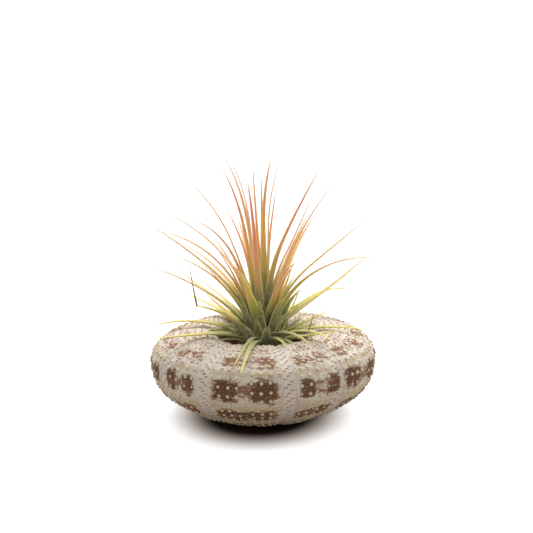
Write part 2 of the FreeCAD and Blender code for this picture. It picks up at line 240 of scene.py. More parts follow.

# %% [markdown]
# ## Floor and shadow
#
# The floor is a plain matt white, and a glow of its own, seen only by the camera, takes it up to paper white.
# The shadow under the belly is painted: to the camera the floor is a dark, warm brown inside an oval under
# the object, and the floor's own white and its glow, warm at the oval's edge, both grow from it outward.
# To every other ray the floor is grey, which keeps the belly dark.

# %% Lay the floor
FLOOR_SIZE = 4.0
FLOOR_DROP = 0.0003
FLOOR_WHITE = (0.90, 0.885, 0.87, 1)
FLOOR_BOUNCE = (0.50, 0.46, 0.42, 1)
FLOOR_GLOW = 0.95
# painted shadow: the camera sees a dark brown floor in an oval under the object, with a warm glow at its edge
PAINTED_SHADOW_EDGE_WARM = (1.0, 0.86, 0.76, 1)
SEEN_SHARE = 0.30
PAINTED_SHADOW_BROWN = (0.040, 0.024, 0.020, 1)
PAINTED_SHADOW_MIDDLE = (-0.002, 0, 0)
PAINTED_SHADOW_HALF_SIZES = (0.0292, 0.0378, 1)
# where the painted shadow's dark starts to fade and where it ends, in shares of its half sizes
PAINTED_SHADOW_START, PAINTED_SHADOW_END = 0.70, 1.45


def make_floor():
    half = FLOOR_SIZE / 2
    corners = [(-half, -half), (half, -half), (half, half), (-half, half)]
    mesh = bpy.data.meshes.new("floor")
    mesh.from_pydata([(x, y, -FLOOR_DROP) for x, y in corners], [], [(0, 1, 2, 3)])
    floor = bpy.data.objects.new("floor", mesh)
    bpy.context.scene.collection.objects.link(floor)
    material = bpy.data.materials.new("white_floor")
    material.use_nodes = True
    tree = material.node_tree
    tree.nodes.clear()
    paper = add(tree, "ShaderNodeBsdfDiffuse", {"Color": FLOOR_BOUNCE})
    # painted shadow: the floor the camera sees grows from dark brown in the oval to glowing white outside it
    place = vector_calc(tree, "SUBTRACT", object_space(tree), PAINTED_SHADOW_MIDDLE)
    place = vector_calc(tree, "DIVIDE", place, PAINTED_SHADOW_HALF_SIZES)
    out = ramp(tree, vector_calc(tree, "LENGTH", place, output="Value"), PAINTED_SHADOW_START, PAINTED_SHADOW_END)
    seen_paper_with_painted_shadow = add(tree, "ShaderNodeBsdfDiffuse", {
        "Color": mix(tree, calc(tree, "MULTIPLY", out, SEEN_SHARE), PAINTED_SHADOW_BROWN, FLOOR_WHITE)})
    glow = add(tree, "ShaderNodeEmission", {
        "Color": mix(tree, out, PAINTED_SHADOW_EDGE_WARM, PURE_WHITE), "Strength": calc(tree, "MULTIPLY", out, FLOOR_GLOW)})
    bright = add(tree, "ShaderNodeAddShader", [seen_paper_with_painted_shadow.outputs[0], glow.outputs[0]])
    both = add(tree, "ShaderNodeMixShader", [seen_ray(tree), paper.outputs[0], bright.outputs[0]])
    add(tree, "ShaderNodeOutputMaterial", {"Surface": both.outputs[0]})
    mesh.materials.append(material)


make_floor()
print("floor", FLOOR_SIZE, "m wide")

# %% [markdown]
# ## The shell's meridian
#
# Cut through its axis, the shell's outline is five arcs that run into each other: belly, lower side, upper
# side, shoulder and lip. Points along it are numbered by their climb, the distance along the outline from
# the widest line, up towards the mouth. Plates are smaller towards both ends of the rows.

# %% Shell sizes and outline, in metres
SHELL_RADIUS = 0.047
SHELL_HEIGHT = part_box("wide_zone_1")[1].z
WIDEST_HEIGHT = 0.024
WALL = 0.0018
BASE_RADIUS = 0.010
LOWER_SIDE_RADIUS = 0.017
UPPER_SIDE_SHARE = 0.78
UPPER_SIDE_RADIUS = UPPER_SIDE_SHARE * (SHELL_HEIGHT - WIDEST_HEIGHT)
CREST_RADIUS = 0.0255
MOUTH_RADIUS = 0.0185
LIP_DROP = 0.0042
ZONES_OF_A_KIND = 5
ZONE_PITCH = 360 / ZONES_OF_A_KIND
WIDE_ANGLE = 38.0
NARROW_ANGLE = ZONE_PITCH - WIDE_ANGLE
# turn of the middle of the zone that faces the camera
FRONT_TURN = -99.5
PORE_BAND_ANGLE = 6.4
PLATE_HEIGHT = 0.0038
END_PLATE_SHARE = 0.68
MESH_STEP = 0.0006


def meridian():
    """Each arc's centre, level and radius, and the angles where it starts and ends."""
    belly_run = SHELL_RADIUS - LOWER_SIDE_RADIUS - BASE_RADIUS
    belly = belly_run**2 + WIDEST_HEIGHT**2 - LOWER_SIDE_RADIUS**2
    belly /= 2 * (WIDEST_HEIGHT - LOWER_SIDE_RADIUS)
    crown = SHELL_HEIGHT - WIDEST_HEIGHT
    shoulder_run = SHELL_RADIUS - UPPER_SIDE_RADIUS - CREST_RADIUS
    shoulder = (shoulder_run**2 + crown**2 - UPPER_SIDE_RADIUS**2) / (2 * (crown - UPPER_SIDE_RADIUS))
    lip_run = CREST_RADIUS - MOUTH_RADIUS
    lip = (lip_run**2 + LIP_DROP**2) / (2 * LIP_DROP)
    belly_angle = math.atan2(WIDEST_HEIGHT - belly, belly_run)
    shoulder_angle = math.atan2(WIDEST_HEIGHT - (SHELL_HEIGHT - shoulder), shoulder_run)
    lip_angle = math.pi / 2 + math.asin(lip_run / lip)
    return [
        (BASE_RADIUS, belly, belly, -math.pi / 2, belly_angle),
        (SHELL_RADIUS - LOWER_SIDE_RADIUS, WIDEST_HEIGHT, LOWER_SIDE_RADIUS, belly_angle, 0),
        (SHELL_RADIUS - UPPER_SIDE_RADIUS, WIDEST_HEIGHT, UPPER_SIDE_RADIUS, 0, shoulder_angle),
        (CREST_RADIUS, SHELL_HEIGHT - shoulder, shoulder, shoulder_angle, math.pi / 2),
        (CREST_RADIUS, SHELL_HEIGHT - lip, lip, math.pi / 2, lip_angle),
    ]


def sample_outline(step):
    """Columns: radius, height, the outward normal's two parts, and the climb from the widest line."""
    rows, start = [], 0.0
    for centre, level, radius, first, last in meridian():
        count = max(3, round(radius * (last - first) / step))
        angles = np.linspace(first, last, count, endpoint=False)
        rows += [(centre + radius * math.cos(angle), level + radius * math.sin(angle),
                  math.cos(angle), math.sin(angle), start + radius * (angle - first)) for angle in angles]
        start += radius * (last - first)
        if last == 0:
            widest = start
    rows.append((centre + radius * math.cos(last), level + radius * math.sin(last),
                 math.cos(last), math.sin(last), start))
    rows = np.array(rows)
    rows[:, 4] -= widest
    return rows


OUTLINE = sample_outline(MESH_STEP)
CLIMBS = OUTLINE[:, 4]
BOTTOM_CLIMB, MOUTH_CLIMB = CLIMBS[0], CLIMBS[-1]
end_shares = np.clip(np.abs(CLIMBS) / MOUTH_CLIMB, 0, 1)
plate_heights = PLATE_HEIGHT * (1 - (1 - END_PLATE_SHARE) * end_shares)
plate_counts = np.concatenate([[0], np.cumsum(np.diff(CLIMBS) / plate_heights[1:])])
plate_counts -= np.interp(0, CLIMBS, plate_counts)
print("outline", len(OUTLINE), "points,", round(float(plate_counts[-1] - plate_counts[0])), "plates high")

# %% [markdown]
# ## What varies round the shell
#
# The wall sinks a little along each band of pores and along the seam in the middle of each zone, and the
# rim of the mouth is uneven, with two gill notches to each wide zone. All of this depends only on the turn
# round the axis and the climb, so it is written as functions of the two, and any point of the wall follows.

# %% Relief of the wall
BAND_MIDDLE = WIDE_ANGLE / 2 + PORE_BAND_ANGLE / 2
BAND_DEPTH = 0.0006
BAND_SPREAD = 2.8
SEAM_DEPTH = 0.00022
SEAM_SPREAD = 1.2
NOTCH_PLACE = 14.0
NOTCH_DEPTH = 0.0011
NOTCH_SPREAD = 2.2
RIM_FADE = 0.004
RIM_WAVES = [(0.00028, 5, 0.4), (0.00020, 13, 1.9), (0.00014, 31, 0.7), (0.00010, 53, 2.6)]


def smooth(values, low, high):
    share = np.clip((values - low) / (high - low), 0, 1)
    return share * share * (3 - 2 * share)


def bell(values, spread):
    return np.exp(-((values / spread) ** 2))


def zone_middle(kind, number):
    """Turn of the middle of a zone. The narrow zones stand half a pitch on from the wide ones."""
    return FRONT_TURN + ZONE_PITCH * (number + (0 if kind == "wide" else 0.5))


def from_front_zone(turn):
    """Degrees from the middle of the nearest wide zone, -36 to 36."""
    return (turn - FRONT_TURN + ZONE_PITCH / 2) % ZONE_PITCH - ZONE_PITCH / 2


def relief(turn, climb):
    place = np.abs(from_front_zone(turn))
    sink = BAND_DEPTH * bell(place - BAND_MIDDLE, BAND_SPREAD)
    sink += SEAM_DEPTH * (bell(place, SEAM_SPREAD) + bell(place - ZONE_PITCH / 2, SEAM_SPREAD))
    return -sink * smooth(climb, BOTTOM_CLIMB, BOTTOM_CLIMB / 2)


def rim_shift(turn, climb):
    place = np.abs(from_front_zone(turn))
    shift = NOTCH_DEPTH * bell(place - NOTCH_PLACE, NOTCH_SPREAD)
    for height, waves, start in RIM_WAVES:
        shift = shift + height * np.sin(np.radians(turn) * waves + start)
    return shift * smooth(climb, MOUTH_CLIMB - RIM_FADE, MOUTH_CLIMB)


def wall_point(turn, row, depth=0.0):
    """A point on the wall: row is a line of the outline, depth is how far below the outer side."""
    radius, height, out, up, climb = np.moveaxis(np.asarray(row), -1, 0)
    lift = relief(turn, climb) - depth
    far = radius + out * lift + rim_shift(turn, climb)
    angle = np.radians(turn)
    return np.stack([far * np.cos(angle), far * np.sin(angle), height + up * lift], axis=-1)


print("deepest relief", round(float(relief(FRONT_TURN + BAND_MIDDLE, 0.0)) * 1000, 2), "mm")

# %% [markdown]
# ## Patches and tints
#
# The brown patches come in rows that run round the shell, two patches to a zone, joined by a paler bridge.
# The ground between them is straw-coloured in some rows and lilac beside the pores and near the mouth. A
# painted picture would need a flat map of the shell; the patches are simple enough to be worked out from the
# degrees across a zone and the climb, and are stored on the mesh as attributes for the material to read.

# %% Rows of brown patches
# name, climb of the row, half its height, patch middle and half width in degrees, strength, how reddish
WIDE_PATCHES = [
    ("under", -0.0270, 0.0022, 9.0, 9.0, 0.75, 0.3),
    ("lower", -0.0143, 0.0041, 8.2, 9.8, 1.0, 0.1),
    ("middle", -0.0006, 0.0051, 10.0, 7.4, 1.0, 0.0),
    ("upper", 0.0129, 0.0036, 10.6, 5.4, 0.66, 0.6),
    ("mouth", 0.0215, 0.0018, 9.0, 4.4, 0.38, 0.9),
]
NARROW_PATCHES = [
    ("under", -0.0275, 0.0020, 5.2, 4.4, 0.65, 0.3),
    ("lower", -0.0142, 0.0036, 6.2, 5.6, 0.95, 0.2),
    ("middle", -0.0004, 0.0044, 6.9, 3.5, 0.95, 0.1),
    ("upper", 0.0128, 0.0033, 6.2, 4.8, 0.60, 0.7),
    ("mouth", 0.0212, 0.0016, 5.0, 3.0, 0.30, 0.9),
]
# shift in degrees and size of the patches of the zones that differ
PATCH_CHANGES = {("wide", 1): (-1.0, 0.78), ("wide", 4): (0.0, 0.60), ("narrow", 0): (2.2, 0.95),
                 ("narrow", 4): (-3.0, 0.95)}
PATCH_EDGE_ANGLE = 2.4
PATCH_EDGE = 0.0018
PATCH_SQUARENESS = 3.0
PATCH_FADE = 2.0
BRIDGE_STRENGTH = 0.66
BRIDGE_HEIGHT = 0.0020
# spreads of a patch's shift in degrees, its growth and its rise in metres
PATCH_JITTER = (0.7, 0.08, 0.0003)
PATCH_SEED = 40
LILAC_SPREAD = 6.0
LILAC_UPPER_SHARE = 0.55
LILAC_AT_MOUTH = 0.4
# where the lilac grows: by the drop below the widest line, and by the climb near the mouth
LILAC_DROPS = (-0.006, 0.010)
LILAC_CLIMBS = (0.010, 0.020)
STRAW_LOSS = 0.6
PORE_BAND_EDGE = 0.6
# climb and spread of each straw-coloured row
STRAW_ROWS = [(-0.0090, 0.0026), (-0.0205, 0.0032), (0.0064, 0.0010)]
print("rows of patches:", [row[0] for row in WIDE_PATCHES])


# %% Where the patches and tints lie
def soft_patch(across, climb, middle, level, half_angle, half_height):
    """1 inside a patch with rounded corners, fading to 0 at its edge."""
    far = (np.abs(across - middle) / (half_angle + PATCH_EDGE_ANGLE)) ** PATCH_SQUARENESS
    far = far + (np.abs(climb - level) / (half_height + PATCH_EDGE)) ** PATCH_SQUARENESS
    return np.clip(PATCH_FADE * (1 - far ** (1 / PATCH_SQUARENESS)), 0, 1)


def patches(kind, number, across, climb):
    """How brown the shell is, 0 to 1, and how reddish, at degrees across a zone and a climb."""
    draw = np.random.default_rng(PATCH_SEED + number * 2 + (kind == "narrow"))
    brown, reddish = np.zeros_like(across), np.zeros_like(across)
    turned, share = PATCH_CHANGES.get((kind, number), (0.0, 1.0))
    across = across - turned
    rows = WIDE_PATCHES if kind == "wide" else NARROW_PATCHES
    for _, level, half_height, middle, half_angle, strength, red in rows:
        bridge = soft_patch(across, climb, 0, level, middle, BRIDGE_HEIGHT) * BRIDGE_STRENGTH * strength
        brown = np.maximum(brown, bridge)
        reddish = np.maximum(reddish, bridge)
        for side in (-1, 1):
            shift, grow, rise = draw.normal(size=3) * PATCH_JITTER
            size = share * (1 + grow)
            patch = strength * soft_patch(across, climb, side * middle + shift, level + rise,
                                          half_angle * size, half_height * size)
            reddish = np.where(patch > brown, red, reddish)
            brown = np.maximum(brown, patch)
    return brown, reddish


def tints(kind, across, climb):
    """How straw-coloured and how lilac the ground is, both 0 to 1."""
    band = BAND_MIDDLE if kind == "wide" else ZONE_PITCH / 2 - BAND_MIDDLE
    below = smooth(-climb, *LILAC_DROPS)
    lilac = bell(np.abs(across) - band, LILAC_SPREAD) * (LILAC_UPPER_SHARE + (1 - LILAC_UPPER_SHARE) * below)
    lilac = np.maximum(lilac, LILAC_AT_MOUTH * smooth(climb, *LILAC_CLIMBS))
    straw = np.zeros_like(climb)
    for level, spread in STRAW_ROWS:
        straw = np.maximum(straw, bell(climb - level, spread))
    return straw * (1 - STRAW_LOSS * lilac), lilac


def pore_band(across):
    """1 along the bands of pores at both sides of a narrow zone."""
    edge = NARROW_ANGLE / 2 - PORE_BAND_ANGLE
    return smooth(np.abs(across), edge - PORE_BAND_EDGE, edge + PORE_BAND_EDGE)


def zone_fields(kind, number, across, climb, radius, plate):
    """Everything that the shell's material reads, by name, at places on a zone."""
    brown, reddish = patches(kind, number, across, climb)
    straw, lilac = tints(kind, across, climb)
    band = pore_band(across) if kind == "narrow" else np.zeros_like(across)
    # the pattern's own place: metres along the zone, set apart from other zones, climb and count of plates
    along = np.radians(across) * radius + 2 * number + (kind == "narrow")
    return {"patch": brown, "reddish": reddish, "straw": straw, "lilac": lilac, "band": band,
            "place": np.stack([along, climb, plate], axis=-1)}


bridge_brown, _ = patches("wide", 0, np.zeros(1), np.array([WIDE_PATCHES[2][1]]))
print("how brown the bridge of the middle row is:", round(float(bridge_brown[0]), 2))

# %% [markdown]
# ## One zone's wall
#
# Each zone is a closed piece: a grid of points round a loop, up the outer side, round the lip and down the
# inner side, carried through the zone's angle, with a cap at each end. The outer side gets the attributes.


# %% Meshes from loops of points
def mesh_from_loops(name, loops):
    """Joins loops of points into a closed mesh. loops is an array: loop, point in it, x y z."""
    count, size = loops.shape[:2]
    faces = []
    for first in range(count - 1):
        for point in range(size):
            after = (point + 1) % size
            faces.append((first * size + point, first * size + after,
                          (first + 1) * size + after, (first + 1) * size + point))
    # the caps join the outer half of the first and the last loop to its inner half
    last = (count - 1) * size
    for point in range(size // 2 - 1):
        mirror, before = size - 1 - point, size - 2 - point
        faces.append((mirror, before, point + 1, point))
        faces.append((last + point, last + point + 1, last + before, last + mirror))
    mesh = bpy.data.meshes.new(name)
    mesh.from_pydata(loops.reshape(-1, 3).tolist(), [], faces)
    mesh.validate()
    return mesh


def store(mesh, name, values):
    """Keeps numbers, or vectors where there are three to a point, on a mesh's points."""
    flat = np.ascontiguousarray(values, dtype=np.float32).ravel()
    kind, field = ("FLOAT", "value") if len(flat) == len(mesh.vertices) else ("FLOAT_VECTOR", "vector")
    mesh.attributes.new(name, kind, "POINT").data.foreach_set(field, flat)


def new_object(name, mesh):
    made = bpy.data.objects.new(name, mesh)
    bpy.context.scene.collection.objects.link(made)
    return made


print("mesh helpers ready")

# %% The wall of one zone
LIP_POINTS = 4
# the two halves of a zone are staggered by half a plate
HALF_PLATE = 0.5


def zone_wall(kind, number):
    angle = WIDE_ANGLE if kind == "wide" else NARROW_ANGLE
    count = round(math.radians(angle) * SHELL_RADIUS / MESH_STEP)
    across = np.linspace(-angle / 2, angle / 2, count + 1)
    bends = np.pi * np.arange(1, LIP_POINTS + 1)[:, None] / (LIP_POINTS + 1)
    loops = []
    for turn in zone_middle(kind, number) + across:
        outer = wall_point(turn, OUTLINE)
        inner = wall_point(turn, OUTLINE, WALL)
        normal = (outer[-1] - inner[-1]) / 2
        onward = outer[-1] - outer[-2]
        onward = onward / np.linalg.norm(onward) * np.linalg.norm(normal)
        lip = (outer[-1] + inner[-1]) / 2 + np.cos(bends) * normal + np.sin(bends) * onward
        loops.append(np.concatenate([outer, lip, inner[::-1]]))
    loops = np.array(loops)
    name = f"{kind}_zone_{number + 1}_wall"
    mesh = mesh_from_loops(name, loops)
    size = len(OUTLINE)
    spread = np.tile(across[:, None], (1, size))
    lines = (OUTLINE[:, 0], CLIMBS, plate_counts)
    radius, climb, plate = (np.tile(line, (count + 1, 1)) for line in lines)
    fields = zone_fields(kind, number, spread, climb, radius, plate + HALF_PLATE * (spread > 0))
    fields["outer"] = np.ones_like(spread)
    for field, values in fields.items():
        whole = np.zeros(loops.shape[:2] + values.shape[2:])
        whole[:, :size] = values
        store(mesh, field, whole)
    return new_object(name, mesh)


print("a wide zone's wall has", len(OUTLINE) * 2 + LIP_POINTS, "points to a loop")

# %% [markdown]
# ## Tubercles and pores
#
# A tubercle is a low boss with a ball on it, where a spine once turned. A pore is a small pit in a raised
# ring, painted dark for the shade down the hole. Both are round, so one shape of each is turned on a lathe: a
# profile carried round an axis with a point on top. They repeat hundreds of times and have only a few dozen
# faces. An attribute says how much of each ring is the pale ball, the crease at its foot, which gets painted
# shade, or the pit painted dark.

# %% Shapes that repeat
TUBERCLE_SIDES = 9
PORE_SIDES = 7
# radius and height in shares of the ball's radius, then how much it is the pale ball, or the pit if below 0
TUBERCLE_SHARES = [(1.50, -0.45, 0.0), (1.45, 0.00, 0.0), (1.08, 0.17, 0.22), (0.84, 0.22, 0.45),
                   (0.93, 0.42, 0.9), (0.80, 0.68, 1.0), (0.44, 0.82, 1.0)]
TUBERCLE_TOP_SHARE = 0.87
PORE_SHARES = [(1.30, -0.60, 0.0), (1.20, 0.10, 0.3), (1.02, 0.30, 0.7), (0.84, 0.16, -0.6),
               (0.74, 0.08, -1.0)]
PORE_FLOOR_SHARE = 0.06


def lathe(name, profile, top, top_value, sides):
    turns = np.arange(sides) * 2 * math.pi / sides
    points = [(r * math.cos(t), r * math.sin(t), z) for r, z, _ in profile for t in turns]
    values = [value for _, _, value in profile for _ in turns]
    faces = [tuple(range(sides - 1, -1, -1))]
    for ring in range(len(profile) - 1):
        for side in range(sides):
            after = (side + 1) % sides
            low, high = ring * sides, (ring + 1) * sides
            faces.append((low + side, low + after, high + after, high + side))
    last = (len(profile) - 1) * sides
    points.append((0, 0, top))
    values.append(top_value)
    faces += [(last + side, last + (side + 1) % sides, len(points) - 1) for side in range(sides)]
    mesh = bpy.data.meshes.new(name)
    mesh.from_pydata(points, [], faces)
    store(mesh, "bead", np.array(values))
    return new_object(name, mesh)


tubercle_shape = lathe("tubercle_shape", TUBERCLE_SHARES, TUBERCLE_TOP_SHARE, 1.0, TUBERCLE_SIDES)
pore_shape = lathe("pore_shape", PORE_SHARES, PORE_FLOOR_SHARE, -1.0, PORE_SIDES)
print("tubercle has", len(tubercle_shape.data.polygons), "faces, pore", len(pore_shape.data.polygons))

# %% [markdown]
# ## Where tubercles and pores stand
#
# The large tubercles stand in rows, one row to a plate, staggered between the two halves of a zone. The pores
# go in pairs, three pairs to a plate, in the bands beside the seams. Their places are a cloud of points that
# also carries the wall's attributes, so that each shape takes the colour of the shell where it stands.

# %% Places of the tubercles and pores
TUBERCLE_RADIUS = 0.00073
TUBERCLE_SEED = 10
TUBERCLE_SIZES = (0.88, 1.1)
# how far a row stands up its plate, by the side of the zone
ROW_PLACES = {-1: 0.25, 1: 0.75}
FIRST_COLUMN = {"wide": 0.0031, "narrow": 0.0024}
COLUMN_PITCH = 0.00375
SMALLEST_COLUMN_SHARE = 0.62
EDGE_MARGIN = 0.0011
END_SIZE_SHARE = 0.30
OUTER_COLUMN_SHARE = 0.80
PLACE_JITTER = 0.00014
REST_HEIGHT = 0.0011
PORE_RADIUS = 0.00034
PORES_PER_PLATE = 3
# a pair stands half way up its share of a plate
PAIR_PLACE = 0.5
PORE_STEP = 0.00135
PORE_PAIR = 0.00085
PORE_EDGE = 0.0008
PORE_END_SHARE = 0.7


def outline_row(climb):
    return np.array([np.interp(climb, CLIMBS, column) for column in OUTLINE.T])


def place_cloud(name, kind, number, spots):
    """A mesh of loose points. spots: degrees across the zone, climb and size of each."""
    across, climb, size = np.array(spots).T
    rows = np.array([outline_row(level) for level in climb])
    turns = zone_middle(kind, number) + across
    angles = np.radians(turns)
    rise = np.stack([rows[:, 2] * np.cos(angles), rows[:, 2] * np.sin(angles), rows[:, 3]], axis=-1)
    plate = np.interp(climb, CLIMBS, plate_counts)
    mesh = bpy.data.meshes.new(name)
    mesh.from_pydata(wall_point(turns, rows).tolist(), [], [])
    fields = {"rise": rise, "size": size, **zone_fields(kind, number, across, climb, rows[:, 0], plate)}
    for field, values in fields.items():
        store(mesh, field, values)
    return new_object(name, mesh)


def plate_climbs(shift, per_plate=1):
    first, last = math.ceil(plate_counts[0] * per_plate), math.floor(plate_counts[-1] * per_plate)
    counts = (np.arange(first, last) + shift) / per_plate
    return np.interp(counts, plate_counts, CLIMBS)


def tubercle_spots(kind, number):
    draw = np.random.default_rng(TUBERCLE_SEED + number * 2 + (kind == "narrow"))
    half = WIDE_ANGLE / 2 if kind == "wide" else NARROW_ANGLE / 2 - PORE_BAND_ANGLE
    spots = []
    for side in (-1, 1):
        for climb in plate_climbs(ROW_PLACES[side]):
            radius, height = outline_row(climb)[:2]
            usual = END_SIZE_SHARE + (1 - END_SIZE_SHARE) * radius / SHELL_RADIUS
            share = max(radius / SHELL_RADIUS, SMALLEST_COLUMN_SHARE)
            room = math.radians(half) * radius - EDGE_MARGIN * share
            across, column = FIRST_COLUMN[kind] * share, 0
            while across < room:
                size = usual * draw.uniform(*TUBERCLE_SIZES)
                if across + COLUMN_PITCH * share > room and column > 0:
                    size *= OUTER_COLUMN_SHARE
                slip = draw.normal(size=2) * PLACE_JITTER
                if height > REST_HEIGHT:
                    spots.append((math.degrees(side * (across + slip[0]) / radius), climb + slip[1], size))
                across += COLUMN_PITCH * share
                column += 1
    return spots


def pore_spots():
    spots = []
    for side in (-1, 1):
        for index, climb in enumerate(plate_climbs(PAIR_PLACE, PORES_PER_PLATE)):
            radius, height = outline_row(climb)[:2]
            share = radius / SHELL_RADIUS
            if height < REST_HEIGHT:
                continue
            edge = math.radians(NARROW_ANGLE / 2) * radius
            start = edge - (PORE_EDGE + PORE_STEP * (index % PORES_PER_PLATE)) * share
            size = PORE_END_SHARE + (1 - PORE_END_SHARE) * share
            for pair in (0, PORE_PAIR * share):
                spots.append((side * math.degrees((start - pair) / radius), climb, size))
    return spots


print("tubercles on the front zone:", len(tubercle_spots("wide", 0)))
print("pores on each narrow zone:", len(pore_spots()))

# %% [markdown]
# ## Seating them on the wall
#
# A Geometry Nodes tree puts the shapes on their points, turned to stand square to the wall, and scatters
# the granules over the outer side with a fixed seed, away from the tubercles and the pore bands. It ends in
# real geometry with a material, because instances don't survive an export.


# %% Geometry Nodes: a wall with its tubercles
def new_tree(name, sockets):
    tree = bpy.data.node_groups.new(name, "GeometryNodeTree")
    for label, kind in [("Geometry", "NodeSocketGeometry"), *sockets.items()]:
        tree.interface.new_socket(label, in_out="INPUT", socket_type=kind)
    tree.interface.new_socket("Geometry", in_out="OUTPUT", socket_type="NodeSocketGeometry")
    return tree, tree.nodes.new("NodeGroupInput").outputs


def end_tree(tree, geometry, material):
    real = add(tree, "GeometryNodeRealizeInstances", {"Geometry": geometry}).outputs[0]
    soft = add(tree, "GeometryNodeSetShadeSmooth", {"Geometry": real}).outputs[0]
    painted = add(tree, "GeometryNodeSetMaterial", {"Geometry": soft, "Material": material}).outputs[0]
    add(tree, "NodeGroupOutput", {"Geometry": painted})


def named(tree, name, data_type="FLOAT"):
    return result(add(tree, "GeometryNodeInputNamedAttribute", {"Name": name}, data_type=data_type))


def seat_shapes(tree, given, name):
    """The points where a shape goes, and the shape on each of them, square to the wall."""
    points = add(tree, "GeometryNodeObjectInfo", {"Object": given[f"{name} places"]}).outputs["Geometry"]
    shape = add(tree, "GeometryNodeObjectInfo", {"Object": given[name]}).outputs["Geometry"]
    stand = add(tree, "FunctionNodeAlignRotationToVector",
                {"Vector": named(tree, "rise", "FLOAT_VECTOR")}, axis="Z").outputs[0]
    size = calc(tree, "MULTIPLY", named(tree, "size"), given[f"{name} radius"])
    feeds = {"Points": points, "Instance": shape, "Rotation": stand, "Scale": size}
    return points, add(tree, "GeometryNodeInstanceOnPoints", feeds).outputs[0]


BARE_LIMIT = 0.6
GRANULE_RADIUS = 0.00027
GRANULE_SIZES = (0.6, 1.25)
GRANULE_SPACING = 0.00112
GRANULE_CLEARANCE = 0.0013
GRANULE_DENSITY = 4.0e6
GRANULE_BEAD = 0.50


def beaded_wall_tree():
    tree, given = new_tree("beaded_wall", {
        "Tubercle places": "NodeSocketObject", "Tubercle": "NodeSocketObject",
        "Tubercle radius": "NodeSocketFloat", "Pore places": "NodeSocketObject",
        "Pore": "NodeSocketObject", "Pore radius": "NodeSocketFloat",
        "Granule radius": "NodeSocketFloat", "Granule spacing": "NodeSocketFloat",
        "Seed": "NodeSocketInt", "Material": "NodeSocketMaterial"})
    places, tubercles = seat_shapes(tree, given, "Tubercle")
    _, pores = seat_shapes(tree, given, "Pore")
    bare = calc(tree, "SUBTRACT", named(tree, "outer"), named(tree, "band"))
    spread = add(tree, "GeometryNodeDistributePointsOnFaces", {
        "Mesh": given["Geometry"], "Selection": calc(tree, "GREATER_THAN", bare, BARE_LIMIT),
        "Distance Min": given["Granule spacing"], "Density Max": GRANULE_DENSITY, "Seed": given["Seed"]},
        distribute_method="POISSON")
    near = add(tree, "GeometryNodeProximity", [places], target_element="POINTS").outputs["Distance"]
    height = parts(tree, add(tree, "GeometryNodeInputPosition").outputs[0])["Z"]
    crowded = calc(tree, "LESS_THAN", near, GRANULE_CLEARANCE)
    low = calc(tree, "LESS_THAN", height, REST_HEIGHT)
    kept = add(tree, "GeometryNodeDeleteGeometry", {
        "Geometry": spread.outputs["Points"], "Selection": calc(tree, "MAXIMUM", crowded, low)}).outputs[0]
    ball = add(tree, "GeometryNodeMeshIcoSphere", {"Radius": given["Granule radius"], "Subdivisions": 1})
    marked = add(tree, "GeometryNodeStoreNamedAttribute", {
        "Geometry": ball.outputs["Mesh"], "Name": "bead", "Value": GRANULE_BEAD}, data_type="FLOAT")
    smallest, largest = GRANULE_SIZES
    varied = add(tree, "FunctionNodeRandomValue", {
        "Min": smallest, "Max": largest, "Seed": given["Seed"]}).outputs[1]
    granules = add(tree, "GeometryNodeInstanceOnPoints", {
        "Points": kept, "Instance": marked.outputs[0], "Scale": varied}).outputs[0]
    joined = add(tree, "GeometryNodeJoinGeometry")
    for geometry in (granules, pores, tubercles, given["Geometry"]):
        tree.links.new(geometry, joined.inputs[0])
    end_tree(tree, joined.outputs[0], given["Material"])
    return tree


def set_inputs(modifier, values):
    for socket in modifier.node_group.interface.items_tree:
        if socket.in_out == "INPUT" and socket.name in values:
            modifier[socket.identifier] = values[socket.name]


def grow(source, tree, values, name, body, *nodes):
    """Runs a tree on an object, keeps the result as a plain mesh, sets it to ride on its body and hides the
    nodes it replaces.
    """
    modifier = source.modifiers.new("grow", "NODES")
    modifier.node_group = tree
    set_inputs(modifier, values)
    depsgraph = bpy.context.evaluated_depsgraph_get()
    mesh = bpy.data.meshes.new_from_object(source.evaluated_get(depsgraph), depsgraph=depsgraph)
    mesh.name = name
    bpy.data.objects.remove(source)
    piece = new_object(name, mesh)
    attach(piece, body)
    if nodes:
        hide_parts(*nodes)
    return piece


BEADED_WALL = beaded_wall_tree()
print("beaded_wall has", len(BEADED_WALL.nodes), "nodes")

# %% [markdown]
# ## Finish of the shell
#
# Cleaned shell is chalky and matt. Its ground is cream with a grey-lilac cast that is stronger in the
# seams and along the pore bands. The brown patches have ragged edges drawn out along the plates, so the
# noise that breaks them up is stretched round the shell. The balls of the tubercles stay cream. A
# yellow-brown ring of painted shade lies in the crease at their foot, and the granules take the same
# yellow-brown as their own colour. The pits of the pores are painted dark, as the shade down the holes.

# %% Colours of the shell
CREAM = (0.69, 0.625, 0.51, 1)
CHALK = (0.93, 0.91, 0.86, 1)
STRAW = (0.58, 0.46, 0.23, 1)
LILAC = (0.54, 0.33, 0.33, 1)
BROWN = (0.092, 0.031, 0.011, 1)
RED_BROWN = (0.25, 0.10, 0.050, 1)
# painted shade in the crease at the foot of each tubercle, which is also the granules' own colour
RING_SHADE_AND_GRANULE_BROWN = (0.50, 0.37, 0.17, 1)
BEAD_CREAM = (0.74, 0.66, 0.47, 1)
# painted shade down the pores
PAINTED_PIT_SHADE = (0.22, 0.12, 0.07, 1)
BAND_CHALK = (0.80, 0.75, 0.67, 1)
print("browns of the patches:", BROWN[:3], "and", RED_BROWN[:3])

# %% Patterns of the shell material
# roughness and specular level, then strength and distance of the bump
SHELL_FINISH = (0.75, 0.15)
SHELL_BUMP = (0.5, 0.00012)
